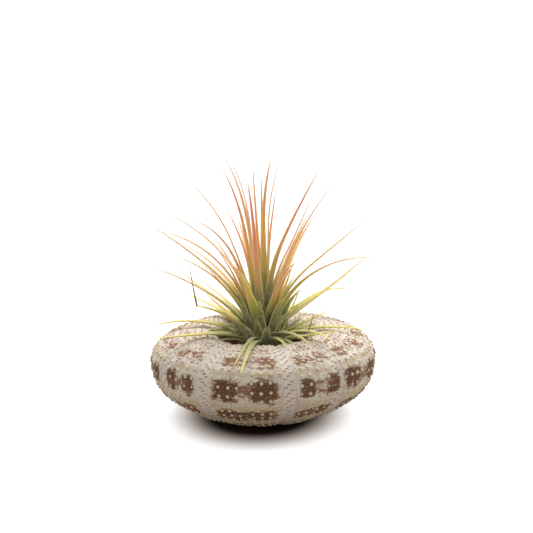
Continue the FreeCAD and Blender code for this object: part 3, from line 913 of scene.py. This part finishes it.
# scale, detail and roughness of each noise, and how it is stretched along a zone
CLOUD_NOISE = (110, 4, 0.55)
GRAIN_NOISE = (1100, 4, 0.7)
STREAK_NOISE, STREAK_STRETCH = (1.0, 5, 0.75), (260, 1300, 1)
TATTER_NOISE, TATTER_STRETCH = (1.0, 3, 0.6), (330, 480, 1)
# ramps: where a pattern starts to count and where it counts in full, then what it counts at both, if not 0, 1
CHALK_RAMP = (0.38, 0.68, 0, 0.75)
SEAM_RAMP = (0.42, 0.5)
STRAW_RAMP = (0.30, 0.62, 0.25, 0.82)
CLOUD_RAMP = (0.48, 0.68, 0, 0.55)
LILAC_RAMP = (0.34, 0.62, 0.15, 0.8)
STAIN_RAMP, STAIN_FLOOR = (0.24, 0.72), (0.03, 0.22)
RED_EDGE_RAMP, RED_RAMP = (1.10, 0.45, 0, 0.95), (0.1, 0.9)
# the ring is painted shade at a tubercle's foot and the granules' own colour; the pit ramp paints the pores
# dark as shade
RING_START, RING_END = (0.02, 0.22), (0.75, 0.5)
BEAD_RAMP = (0.45, 0.9, 0, 0.92)
PAINTED_PIT_RAMP = (0.0, -0.6)
# how much of each colour goes on, and how far streaks and tatters move a patch's edge
LILAC_SHARE, SEAM_SHARE, BAND_SHARE = 0.8, 0.25, 0.55
STAIN_SHARE, RING_SHARE = 0.94, 0.6
STREAK_PULL, TATTER_PULL = 1.9, 1.8
SEAM_SINK = 1.2
print("streaks are", STREAK_STRETCH[1] / STREAK_STRETCH[0], "times as long as they are high")


# %% Shell material
def ragged_patch(tree, patch, streaks, tatters):
    """The patches with their edges pulled in and out by two patterns."""
    shift = calc(tree, "ADD", calc(tree, "MULTIPLY", calc(tree, "SUBTRACT", streaks, 0.5), STREAK_PULL),
                 calc(tree, "MULTIPLY", calc(tree, "SUBTRACT", tatters, 0.5), TATTER_PULL))
    return calc(tree, "ADD", patch, shift)


def shell_material():
    material, tree, shader = new_material("chalky_shell", *SHELL_FINISH)
    space = object_space(tree)
    place = attribute(tree, "place", "Vector")
    bead, patch = attribute(tree, "bead"), attribute(tree, "patch")
    straw, lilac = attribute(tree, "straw"), attribute(tree, "lilac")
    cloud = noise(tree, space, *CLOUD_NOISE)
    grain = noise(tree, space, *GRAIN_NOISE)
    streaks = noise(tree, stretch(tree, place, STREAK_STRETCH), *STREAK_NOISE)
    tatters = noise(tree, stretch(tree, place, TATTER_STRETCH), *TATTER_NOISE)
    up_plate = calc(tree, "SUBTRACT", calc(tree, "FRACT", parts(tree, place)["Z"]), 0.5)
    seam = ramp(tree, calc(tree, "ABSOLUTE", up_plate), *SEAM_RAMP)
    ground = mix(tree, ramp(tree, grain, *CHALK_RAMP), CREAM, CHALK)
    straw = calc(tree, "MULTIPLY", straw, ramp(tree, streaks, *STRAW_RAMP))
    ground = mix(tree, straw, ground, STRAW)
    lilac = calc(tree, "ADD", calc(tree, "MULTIPLY", lilac, LILAC_SHARE), ramp(tree, cloud, *CLOUD_RAMP))
    lilac = calc(tree, "MULTIPLY", lilac, ramp(tree, streaks, *LILAC_RAMP))
    ground = mix(tree, lilac, ground, LILAC)
    ground = mix(tree, calc(tree, "MULTIPLY", seam, SEAM_SHARE), ground, LILAC)
    ground = mix(tree, calc(tree, "MULTIPLY", attribute(tree, "band"), BAND_SHARE), ground, BAND_CHALK)
    ragged = ragged_patch(tree, patch, streaks, tatters)
    stain = calc(tree, "MULTIPLY", ramp(tree, ragged, *STAIN_RAMP), ramp(tree, patch, *STAIN_FLOOR))
    reddish = calc(tree, "ADD", attribute(tree, "reddish"), ramp(tree, ragged, *RED_EDGE_RAMP))
    browns = mix(tree, ramp(tree, reddish, *RED_RAMP), BROWN, RED_BROWN)
    colour = mix(tree, calc(tree, "MULTIPLY", stain, STAIN_SHARE), ground, browns)
    # painted shade: a yellow-brown ring in the crease under each ball, also the granules' own colour, and the
    # pore pits painted dark
    ring = calc(tree, "MULTIPLY", ramp(tree, bead, *RING_START), ramp(tree, bead, *RING_END))
    colour = mix(tree, calc(tree, "MULTIPLY", ring, RING_SHARE), colour, RING_SHADE_AND_GRANULE_BROWN)
    colour = mix(tree, ramp(tree, bead, *BEAD_RAMP), colour, BEAD_CREAM)
    colour = mix(tree, ramp(tree, bead, *PAINTED_PIT_RAMP), colour, PAINTED_PIT_SHADE)
    tree.links.new(colour, shader.inputs["Base Color"])
    height = calc(tree, "SUBTRACT", grain, calc(tree, "MULTIPLY", seam, SEAM_SINK))
    bump(tree, shader, height, *SHELL_BUMP)
    return material


SHELL_MATERIAL = shell_material()
print("shell material has", len(SHELL_MATERIAL.node_tree.nodes), "nodes")

# %% [markdown]
# ## The ten zones
#
# The tree runs once for each zone, on its own wall and its own cloud of points. Each result takes the place
# of its node, so the shell stays ten pieces that meet at the seams, as it grows. The apical disc underneath
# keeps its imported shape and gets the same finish.

# %% Build the ten zones
for kind in ("wide", "narrow"):
    for number in range(ZONES_OF_A_KIND):
        node = f"{kind}_zone_{number + 1}"
        tubercles = place_cloud(f"{node}_tubercles", kind, number, tubercle_spots(kind, number))
        pores = place_cloud(f"{node}_pores", kind, number, pore_spots()) if kind == "narrow" else None
        values = {"Tubercle places": tubercles, "Tubercle": tubercle_shape, "Pore": pore_shape,
                  "Tubercle radius": TUBERCLE_RADIUS, "Pore radius": PORE_RADIUS,
                  "Granule radius": GRANULE_RADIUS, "Granule spacing": GRANULE_SPACING,
                  "Seed": number, "Material": SHELL_MATERIAL}
        if pores:
            values["Pore places"] = pores
        zone = grow(zone_wall(kind, number), BEADED_WALL, values, f"shell_{node}", "shell", node)
        for cloud in (tubercles, pores):
            if cloud:
                bpy.data.objects.remove(cloud)
        print(zone.name, len(zone.data.polygons), "faces")
for shape in (tubercle_shape, pore_shape):
    bpy.data.objects.remove(shape)


def paint_node(name, material):
    """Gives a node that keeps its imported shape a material."""
    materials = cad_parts[name].data.materials
    materials.clear()
    materials.append(material)


paint_node("apical_disc", SHELL_MATERIAL)
print("apical disc painted")

# %% [markdown]
# ## The leaves
#
# A leaf is a thin blade that clasps the stem with a broad channelled base and tapers to a thread. Its
# middle line could be drawn by hand, but two arcs in an upright plane are enough: one from the seat to the
# middle, one from there to the tip. So a row of a table says all there is to a leaf.

# %% Sizes and table of the leaves
SEAT_DROP = 0.0042
SEAT_HEIGHT = SHELL_HEIGHT - SEAT_DROP
SEAT_RISE = 0.013
STEM_LOW_RADIUS = 0.0064
STEM_TOP_RADIUS = 0.0023
SEAT_GAP = 0.00015
LEAF_LENGTH = 0.050
LEAF_WIDTH = 0.0046
LEAF_THICKNESS = 0.0007

# Turn is in degrees from the front (-Y) towards +X, rise, length and width are shares, and the three leans
# are degrees from upright at the base, the middle and the tip. Blush is how far a leaf has turned pink.
LEAF_SHARES = [
    # name, turn, rise, length, base lean, middle lean, tip lean, width, blush
    ("low_leaf_1", -68, 0.00, 0.83, 63, 87, 87, 0.95, 0.10),
    ("low_leaf_2", -9, 0.01, 1.01, 64, 92, 104, 0.62, 0.05),
    ("low_leaf_3", 52, 0.00, 0.73, 74, 73, 76, 0.80, 0.05),
    ("low_leaf_4", 87, 0.02, 0.77, 64, 87, 103, 0.85, 0.05),
    ("low_leaf_5", 156, 0.00, 0.84, 66, 84, 100, 0.90, 0.10),
    ("low_leaf_6", -142, 0.02, 0.88, 66, 86, 98, 0.90, 0.10),
    ("low_leaf_7", -108, 0.09, 0.89, 68, 88, 110, 0.90, 0.15),
    ("low_leaf_8", -14, 0.12, 0.86, 63, 96, 101, 0.36, 0.05),
    ("low_leaf_9", 18, 0.08, 0.50, 63, 80, 100, 0.70, 0.15),
    ("low_leaf_10", 47, 0.11, 0.65, 61, 77, 107, 0.75, 0.05),
    ("low_leaf_11", 34, 0.22, 0.60, 64, 84, 112, 0.60, 0.05),
    ("low_leaf_12", 129, 0.15, 0.95, 51, 72, 112, 0.80, 0.05),
    ("low_leaf_13", -132, 0.20, 0.82, 67, 76, 83, 0.70, 0.15),
    ("low_leaf_14", -47, 0.17, 0.71, 45, 55, 72, 0.90, 0.05),
    ("low_leaf_15", 85, 0.16, 0.50, 69, 63, 64, 0.80, 0.05),
    ("middle_leaf_1", -79, 0.32, 1.01, 35, 55, 68, 0.82, 0.25),
    ("middle_leaf_2", -143, 0.30, 1.17, 69, 80, 67, 0.70, 0.50),
    ("middle_leaf_3", -117, 0.39, 0.49, 73, 61, 47, 0.92, 0.20),
    ("middle_leaf_4", 101, 0.36, 0.97, 57, 56, 50, 0.88, 0.15),
    ("middle_leaf_5", 57, 0.34, 1.30, 17, 54, 87, 0.88, 0.15),
    ("middle_leaf_6", -67, 0.41, 0.97, 22, 42, 67, 0.90, 0.35),
    ("middle_leaf_7", 172, 0.25, 1.00, 53, 60, 78, 0.90, 0.30),
    ("middle_leaf_8", -84, 0.51, 1.23, 21, 47, 55, 0.90, 0.60),
    ("middle_leaf_9", 79, 0.53, 1.23, 16, 49, 50, 0.81, 0.45),
    ("middle_leaf_10", -126, 0.56, 0.95, 31, 51, 75, 0.70, 0.60),
    ("middle_leaf_11", 123, 0.60, 0.47, 35, 27, 21, 0.76, 0.20),
    ("middle_leaf_12", -83, 0.60, 1.17, 13, 41, 77, 0.85, 0.65),
    ("middle_leaf_13", 34, 0.58, 0.74, 19, 27, 64, 0.80, 0.75),
    ("middle_leaf_14", -17, 0.40, 0.95, 29, 41, 57, 1.00, 0.15),
    ("middle_leaf_15", -168, 0.46, 1.10, 39, 46, 66, 0.90, 0.50),
    ("middle_leaf_16", 148, 0.50, 1.10, 35, 44, 60, 0.85, 0.50),
    ("upper_leaf_1", -98, 0.70, 1.24, 8, 41, 69, 0.75, 0.70),
    ("upper_leaf_2", -46, 0.69, 1.23, 14, 29, 68, 0.70, 0.75),
    ("upper_leaf_3", 76, 0.68, 1.31, 9, 26, 38, 0.85, 0.75),
    ("upper_leaf_4", -84, 0.83, 1.34, 10, 21, 47, 0.80, 0.80),
    ("upper_leaf_5", 141, 0.69, 0.99, 26, 36, 50, 0.70, 0.60),
    ("upper_leaf_6", 102, 0.80, 1.08, 3, 28, 23, 0.73, 0.80),
    ("upper_leaf_7", 41, 0.87, 1.48, 5, 32, 38, 0.80, 0.65),
    ("upper_leaf_8", -142, 0.77, 0.96, 7, 23, 47, 0.63, 0.80),
    ("upper_leaf_9", -32, 0.89, 1.40, 12, 15, 38, 0.70, 0.75),
    ("upper_leaf_10", -154, 0.89, 1.40, 7, 20, 59, 0.68, 0.70),
    ("upper_leaf_11", 149, 0.91, 1.00, 5, 10, 21, 0.54, 0.70),
    ("upper_leaf_12", -9, 0.78, 1.35, 18, 18, 35, 0.78, 0.95),
    ("heart_leaf_1", -101, 1.00, 1.33, 1, 4, 26, 0.65, 0.75),
    ("heart_leaf_2", 104, 1.00, 1.32, 1, 1, 22, 0.56, 0.90),
    ("heart_leaf_3", -169, 1.00, 1.18, 1, 15, 13, 0.52, 0.60),
    ("heart_leaf_4", 26, 1.00, 1.33, 1, 0, 28, 0.85, 0.45),
]
MIDRIB_POINTS = 41
# a bend below this, in radians, is taken as straight
LEAST_BEND = 1e-6
print(len(LEAF_SHARES), "leaves")


# %% A leaf's middle line
def arc_step(length, first, last):
    """Run out and up along an arc of this length whose lean goes from first to last."""
    bend = last - first
    if abs(bend) < LEAST_BEND:
        return length * math.sin(first), length * math.cos(first)
    radius = length / bend
    return radius * (math.cos(first) - math.cos(last)), radius * (math.sin(last) - math.sin(first))


def leaf_line(share, length, base, middle, tip):
    if share <= 0.5:
        return arc_step(length * share, base, base + (middle - base) * share * 2)
    first_out, first_up = arc_step(length / 2, base, middle)
    out, up = arc_step(length * (share - 0.5), middle, middle + (tip - middle) * (share - 0.5) * 2)
    return first_out + out, first_up + up


def curve_object(name, points):
    data = bpy.data.curves.new(name, "CURVE")
    data.dimensions = "3D"
    spline = data.splines.new("POLY")
    spline.points.add(len(points) - 1)
    for target, point in zip(spline.points, points):
        target.co = (*point, 1)
    made = bpy.data.objects.new(name, data)
    bpy.context.scene.collection.objects.link(made)
    return made


def midrib(name, turn, rise, length, leans):
    turn = math.radians(turn)
    leans = [math.radians(lean) for lean in leans]
    outward = Vector((math.sin(turn), -math.cos(turn), 0))
    seat = STEM_LOW_RADIUS + (STEM_TOP_RADIUS - STEM_LOW_RADIUS) * rise
    seat += SEAT_GAP + LEAF_THICKNESS / 2 * math.cos(leans[0])
    level = SEAT_HEIGHT + SEAT_RISE * rise
    points = []
    for share in np.linspace(0, 1, MIDRIB_POINTS):
        out, up = leaf_line(share, LEAF_LENGTH * length, *leans)
        points.append(outward * (seat + out) + Vector((0, 0, level + up)))
    return curve_object(f"{name}_midrib", points), Vector((math.cos(turn), math.sin(turn), 0))


longest = max(LEAF_SHARES, key=lambda row: row[3])
print("longest leaf:", longest[0], round(LEAF_LENGTH * longest[3] * 1000, 1), "mm")

# %% [markdown]
# ## The blade
#
# A Geometry Nodes tree sweeps the blade along its middle line. It starts from a flat grid, whose X becomes
# the way along the leaf and whose Y goes once round its section. The section is a flat lens bent round an
# arc, so one angle says how strongly the leaf is channelled, and width, thickness and angle fade along it.

# %% Geometry Nodes: a blade along a line
BLADE_STEPS = 44
BLADE_SIDES = 14
# place along the leaf and share of the full value there
WIDTH_SHARES = [(0.0, 1.12), (0.06, 1.18), (0.15, 1.0), (0.28, 0.78), (0.45, 0.56), (0.65, 0.39),
                (0.85, 0.25), (1.0, 0.12)]
THICKNESS_SHARES = [(0.0, 0.0), (0.015, 0.9), (0.10, 1.0), (0.50, 0.75), (0.80, 0.5), (1.0, 0.06)]
CHANNEL_SHARES = [(0.0, 1.0), (0.15, 0.85), (0.45, 0.70), (0.75, 0.80), (1.0, 0.6)]
WELD = 4e-6


def share_curve(tree, value, shares):
    made = add(tree, "ShaderNodeFloatCurve", {"Value": value})
    points = made.mapping.curves[0].points
    points[0].location, points[1].location = shares[0], shares[-1]
    for share in shares[1:-1]:
        points.new(*share)
    made.mapping.update()
    return made.outputs[0]


def blade_tree():
    tree, given = new_tree("leaf_blade", {
        "Across": "NodeSocketVector", "Width": "NodeSocketFloat", "Thickness": "NodeSocketFloat",
        "Channel": "NodeSocketFloat", "Blush": "NodeSocketFloat", "Colour reach": "NodeSocketFloat",
        "Material": "NodeSocketMaterial"})
    grid = add(tree, "GeometryNodeMeshGrid", [1.0, 1.0, BLADE_STEPS + 1, BLADE_SIDES + 1]).outputs["Mesh"]
    position = add(tree, "GeometryNodeInputPosition").outputs[0]
    flat = parts(tree, position)
    along = calc(tree, "ADD", flat["X"], 0.5)
    round_ = calc(tree, "MULTIPLY", calc(tree, "ADD", flat["Y"], 0.5), math.tau)
    sideways = calc(tree, "MULTIPLY", calc(tree, "COSINE", round_), -1.0)
    midline = add(tree, "GeometryNodeSampleCurve", {
        "Curves": given["Geometry"], "Factor": along}, mode="FACTOR").outputs
    outward = vector_calc(tree, "CROSS_PRODUCT", given["Across"], midline["Tangent"])
    outward = vector_calc(tree, "NORMALIZE", outward)
    half = calc(tree, "MULTIPLY", given["Width"], 0.5)
    half = calc(tree, "MULTIPLY", half, share_curve(tree, along, WIDTH_SHARES))
    depth = calc(tree, "MULTIPLY", given["Thickness"], share_curve(tree, along, THICKNESS_SHARES))
    depth = calc(tree, "MULTIPLY", depth, calc(tree, "MULTIPLY", calc(tree, "SINE", round_), 0.5))
    bend = calc(tree, "MULTIPLY", given["Channel"], share_curve(tree, along, CHANNEL_SHARES))
    radius = calc(tree, "DIVIDE", half, bend)
    reach = calc(tree, "ADD", radius, depth)
    swing = calc(tree, "MULTIPLY", bend, sideways)
    aside = calc(tree, "MULTIPLY", reach, calc(tree, "SINE", swing))
    lift = calc(tree, "SUBTRACT", calc(tree, "MULTIPLY", reach, calc(tree, "COSINE", swing)), radius)
    moved = midline["Position"]
    for direction, amount in ((given["Across"], aside), (outward, lift)):
        step = add(tree, "ShaderNodeVectorMath", {"Vector": direction, "Scale": amount}, operation="SCALE")
        moved = vector_calc(tree, "ADD", moved, step.outputs[0])
    blade = grid
    reached = calc(tree, "MULTIPLY", along, given["Colour reach"])
    for name, value in (("along", reached), ("sideways", sideways), ("blush", given["Blush"])):
        feeds = {"Geometry": blade, "Name": name, "Value": value}
        blade = add(tree, "GeometryNodeStoreNamedAttribute", feeds, data_type="FLOAT").outputs[0]
    blade = add(tree, "GeometryNodeSetPosition", {"Geometry": blade, "Position": moved}).outputs[0]
    blade = add(tree, "GeometryNodeMergeByDistance", {"Geometry": blade, "Distance": WELD}).outputs[0]
    blade = add(tree, "GeometryNodeFlipFaces", {"Mesh": blade}).outputs[0]
    end_tree(tree, blade, given["Material"])
    return tree


LEAF_BLADE = blade_tree()
print("leaf_blade has", len(LEAF_BLADE.nodes), "nodes")

# %% [markdown]
# ## Finish of the leaves
#
# The colour runs along each leaf: silver-green at the clasping base, olive and yellow in the middle, then
# orange and salmon, fading at the thread-like tip. Leaves high in the rosette have turned further. The skin
# is covered in tiny scales, which read as a pale grain, and the thin margins let light through. The margins
# are painted pale too: partly their own colour and partly a painted glow of the light through them.

# %% Colours of the leaves
GREEN_STOPS = [(0.0, (0.36, 0.21, 0.11)), (0.05, (0.27, 0.25, 0.12)), (0.12, (0.27, 0.30, 0.08)),
               (0.25, (0.42, 0.45, 0.06)), (0.50, (0.68, 0.64, 0.09)), (0.80, (0.84, 0.64, 0.19)),
               (1.0, (0.84, 0.50, 0.30))]
PINK_STOPS = [(0.0, (0.34, 0.22, 0.13)), (0.06, (0.28, 0.26, 0.14)), (0.14, (0.34, 0.33, 0.13)),
              (0.26, (0.66, 0.44, 0.16)), (0.45, (0.86, 0.42, 0.26)), (0.75, (0.85, 0.35, 0.31)),
              (1.0, (0.92, 0.50, 0.47))]
SILVER = (0.52, 0.54, 0.46, 1)
DEEP_GREEN = (0.06, 0.085, 0.022, 1)
DRIED = (0.36, 0.15, 0.08, 1)
PALE_DRIED = (0.55, 0.36, 0.18, 1)
# pale margins: partly their own colour, partly a painted glow of light through the thin edges
MARGIN_PALE_AND_PAINTED_GLOW = (0.88, 0.79, 0.42, 1)
print("green leaves have", len(GREEN_STOPS), "colour stops, pink leaves", len(PINK_STOPS))

# %% Patterns of the leaf material
# roughness and specular level, then strength and distance of the bump
LEAF_FINISH, LEAF_BUMP = (0.55, 0.3), (0.35, 0.00008)
DRIED_FINISH = (0.8, 0.2)
LEAF_FLESH = {"Subsurface Weight": 0.55, "Subsurface Radius": (1.0, 0.55, 0.30), "Subsurface Scale": 0.0009,
              "Sheen Weight": 0.25, "Sheen Roughness": 0.4}
# scale, detail and roughness of each noise, and how far the drift moves the colours along a leaf
DRIFT_NOISE, DRIFT_REACH = (160, 3, 0.55), 0.22
MOTTLE_NOISE = (750, 3, 0.65)
SKIN_NOISE = (2600, 2, 0.6)
DRIED_NOISE = (500, 3, 0.55)
# ramps, as in the shell: one of the pattern, then one of how much it counts along the leaf
DEEP_RAMP, DEEP_ALONG = (0.46, 0.66), (0.36, 0.04, 0, 0.48)
PALE_RAMP, PALE_ALONG = (0.52, 0.36), (0.45, 0.05, 0, 0.52)
SILVER_RAMP, SILVER_ALONG = (0.45, 0.68), (0.75, 0, 0.06, 0.44)
MARGIN_RAMP = (0.62, 0.95, 0, 0.62)
DRIED_RAMP = (0.40, 0.65, 0, 0.6)
print("the skin's grain repeats about every", round(1000 / SKIN_NOISE[0], 2), "mm")


# %% Leaf material
def colour_stops(tree, value, stops):
    made = add(tree, "ShaderNodeValToRGB", {"Fac": value})
    elements = made.color_ramp.elements
    elements[0].position, elements[1].position = stops[0][0], stops[-1][0]
    for place, _ in stops[1:-1]:
        elements.new(place)
    for element, (_, colour) in zip(elements, stops):
        element.color = (*colour, 1)
    return made.outputs[0]


def leaf_material():
    material, tree, shader = new_material("leaf_skin", *LEAF_FINISH)
    space = object_space(tree)
    along, blush = attribute(tree, "along"), attribute(tree, "blush")
    drift = calc(tree, "SUBTRACT", noise(tree, space, *DRIFT_NOISE), 0.5)
    place = calc(tree, "ADD", along, calc(tree, "MULTIPLY", drift, DRIFT_REACH))
    colour = mix(tree, blush, colour_stops(tree, place, GREEN_STOPS), colour_stops(tree, place, PINK_STOPS))
    scales = noise(tree, space, *SKIN_NOISE)
    mottle = noise(tree, space, *MOTTLE_NOISE)
    deep = calc(tree, "MULTIPLY", ramp(tree, mottle, *DEEP_RAMP), ramp(tree, along, *DEEP_ALONG))
    colour = mix(tree, deep, colour, DEEP_GREEN)
    pale = calc(tree, "MULTIPLY", ramp(tree, mottle, *PALE_RAMP), ramp(tree, along, *PALE_ALONG))
    colour = mix(tree, pale, colour, SILVER)
    silver = calc(tree, "MULTIPLY", ramp(tree, scales, *SILVER_RAMP), ramp(tree, along, *SILVER_ALONG))
    colour = mix(tree, silver, colour, SILVER)
    # the pale margins are partly their own colour and partly a painted glow of the light through them
    edge = ramp(tree, calc(tree, "ABSOLUTE", attribute(tree, "sideways")), *MARGIN_RAMP)
    colour = mix(tree, edge, colour, MARGIN_PALE_AND_PAINTED_GLOW)
    tree.links.new(colour, shader.inputs["Base Color"])
    bump(tree, shader, scales, *LEAF_BUMP)
    for name, value in LEAF_FLESH.items():
        shader.inputs[name].default_value = value
    return material


def dried_material():
    material, tree, shader = new_material("dried_leaf", *DRIED_FINISH)
    patchy = ramp(tree, noise(tree, object_space(tree), *DRIED_NOISE), *DRIED_RAMP)
    tree.links.new(mix(tree, patchy, DRIED, PALE_DRIED), shader.inputs["Base Color"])
    return material


LEAF_MATERIAL = leaf_material()
DRIED_MATERIAL = dried_material()
print("leaf material has", len(LEAF_MATERIAL.node_tree.nodes), "nodes")

# %% [markdown]
# ## Growing the leaves
#
# Each row of the table gives a line, the tree gives it a blade, and the blade takes the place of the packed
# leaf of the same name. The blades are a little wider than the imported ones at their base, where the real
# leaves clasp each other.

# %% Grow the leaves
BLADE_WIDTH_SHARE = 1.42
CHANNEL_ANGLE = 1.15
# how far along its run of colours a leaf gets: the low leaves stay green and yellow, some nearly green
LOW_REACH = 0.75
FRONT_REACH = 0.42
FRONT_LEAVES = ("low_leaf_2", "low_leaf_8", "low_leaf_9", "low_leaf_11")
UPPER_WIDTH_SHARE = 0.80


def grow_blade(name, line, across, width, blush, reach, material, *nodes):
    values = {"Across": across, "Width": LEAF_WIDTH * width * BLADE_WIDTH_SHARE,
              "Thickness": LEAF_THICKNESS, "Channel": CHANNEL_ANGLE,
              "Blush": blush, "Colour reach": reach, "Material": material}
    blade = grow(line, LEAF_BLADE, values, f"blade_{name}", "plant", *nodes)
    return blade


def grow_leaf(name, turn, rise, length, leans, width, blush, *nodes, reach=1.0, material=LEAF_MATERIAL):
    line, across = midrib(name, turn, rise, length, leans)
    return grow_blade(name, line, across, width, blush, reach, material, *nodes)


for name, turn, rise, length, base, middle, tip, width, blush in LEAF_SHARES:
    reach = FRONT_REACH if name in FRONT_LEAVES else LOW_REACH if name.startswith("low") else 1.0
    if name.startswith(("upper", "heart")):
        width *= UPPER_WIDTH_SHARE
    leaf = grow_leaf(name, turn, rise, length, (base, middle, tip), width, blush, name, reach=reach)
print("last leaf", leaf.name, len(leaf.data.polygons), "faces")

# %% [markdown]
# ## Sheaths round the stem
#
# Below the long leaves the stem is wrapped in the broad bases of short old leaves. They stand close round
# the stem in three rings, the lowest down inside the mouth, and hide it. A ring of short leaves lies over
# the mouth. The same tree makes them, with a fixed draw for each ring, and none takes the place of a node.

# %% Grow the sheaths and the short leaves
# count in the ring, first turn, rise, length, leans, width, how far the colour runs
FOOT_RINGS = [
    (8, 12, -0.42, 0.40, (16, 26, 64), 1.30, 0.16),
    (8, 36, -0.20, 0.42, (12, 22, 58), 1.25, 0.20),
    (7, -4, 0.08, 0.50, (9, 15, 46), 1.15, 0.26),
    (9, 20, -0.08, 0.46, (48, 76, 100), 0.80, 0.28),
]
FOOT_SEED = 70
FOOT_TURNS = (-11, 11)
FOOT_SIZES = (0.80, 1.18)
FOOT_TILTS = (-4, 7)
FOOT_BLUSH = 0.05
for ring, (count, first, rise, length, leans, width, reach) in enumerate(FOOT_RINGS, start=1):
    draw = np.random.default_rng(FOOT_SEED + ring)
    for index in range(count):
        turn = first + 360 / count * index + draw.uniform(*FOOT_TURNS)
        size, wide = draw.uniform(*FOOT_SIZES, size=2)
        tilt = draw.uniform(*FOOT_TILTS)
        grow_leaf(f"foot_{ring}_{index + 1}", turn, rise, length * size, [lean + tilt for lean in leans],
                  width * wide, FOOT_BLUSH, reach=reach)
print("pieces at the foot:", sum(row[0] for row in FOOT_RINGS))

# %% [markdown]
# ## Thin leaves, dried threads and roots
#
# Thin young leaves fill the rosette. The dried threads are the dead ends of leaves, so each starts at a
# leaf's tip or at another thread, and their few points are given one by one. The roots are short, dry and
# wiry and stick out at the foot at random. These ride on the plant too, and take the place of no node.

# %% Grow the thin leaves, the dried threads and the roots
# name, turn, rise, length, leans, width, blush
THIN_LEAVES = [
    ("thin_leaf_1", 175, 0.95, 1.10, (3, 7, 14), 0.45, 0.60),
    ("thin_leaf_2", -130, 0.20, 0.74, (40, 62, 70), 0.42, 0.35),
    ("thin_leaf_3", 135, 0.18, 0.47, (66, 50, 22), 0.42, 0.15),
    ("thin_leaf_4", -62, 0.56, 0.74, (16, 24, 34), 0.62, 0.80),
    ("thin_leaf_5", -112, 0.62, 0.80, (14, 26, 40), 0.60, 0.85),
    ("thin_leaf_6", -92, 0.44, 0.70, (24, 36, 50), 0.62, 0.70),
    ("thin_leaf_7", 62, 0.60, 0.62, (12, 22, 40), 0.55, 0.75),
]
for name, turn, rise, length, leans, width, blush in THIN_LEAVES:
    grow_leaf(name, turn, rise, length, leans, width, blush)

# points of each thread in metres
DRIED_THREADS = [
    [(-0.0262, -0.0246, 0.0532), (-0.0270, -0.0250, 0.0575), (-0.0280, -0.0251, 0.0640),
     (-0.0290, -0.0250, 0.0712)],
    [(0.0140, -0.0235, 0.0388), (0.0200, -0.0255, 0.0380), (0.0188, -0.0240, 0.0428)],
    [(0.0188, -0.0239, 0.0424), (0.0196, -0.0214, 0.0440), (0.0204, -0.0220, 0.0465),
     (0.0212, -0.0220, 0.0488)],
]
THREAD_WIDTH = 0.11
THREAD_ACROSS = Vector((0.8, 0.6, 0))
for index, points in enumerate(DRIED_THREADS, start=1):
    thread = curve_object("thread", points)
    grow_blade(f"dried_thread_{index}", thread, THREAD_ACROSS, THREAD_WIDTH, 0.0, 1.0, DRIED_MATERIAL)

ROOT_COUNT = 22
ROOT_SEED = 91
ROOT_LEANS = [(35, 80), (10, 60), (-40, 70)]
# ranges of turn, rise, length and width
ROOT_RANGES = [(-180, 180), (-0.4, 0.0), (0.20, 0.36), (0.09, 0.20)]
draw = np.random.default_rng(ROOT_SEED)
for index in range(ROOT_COUNT):
    lean, more, last = [draw.uniform(*span) for span in ROOT_LEANS]
    turn, rise, length, width = [draw.uniform(*span) for span in ROOT_RANGES]
    grow_leaf(f"root_{index + 1}", turn, rise, length, (lean, lean + more, lean + last), width, 0.0,
              material=DRIED_MATERIAL)
print("thin leaves, threads and roots:", len(THIN_LEAVES) + len(DRIED_THREADS) + ROOT_COUNT)

# %% [markdown]
# ## The stem
#
# The stem is short and hidden: a fibrous brown stub that the leaves clasp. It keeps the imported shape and
# gets a rough fibrous finish.


# %% Stem material
DARK_FIBRE = (0.09, 0.055, 0.03, 1)
PALE_FIBRE = (0.33, 0.24, 0.13, 1)
STEM_FINISH, STEM_BUMP = (0.85, 0.15), (0.8, 0.0003)
FIBRE_NOISE, FIBRE_STRETCH = (1500, 4, 0.7), (1, 1, 0.2)
FIBRE_RAMP = (0.35, 0.7)


def stem_material():
    material, tree, shader = new_material("fibrous_stem", *STEM_FINISH)
    fibres = noise(tree, stretch(tree, object_space(tree), FIBRE_STRETCH), *FIBRE_NOISE)
    colour = mix(tree, ramp(tree, fibres, *FIBRE_RAMP), DARK_FIBRE, PALE_FIBRE)
    tree.links.new(colour, shader.inputs["Base Color"])
    bump(tree, shader, fibres, *STEM_BUMP)
    return material


paint_node("stem", stem_material())
print("stem painted")
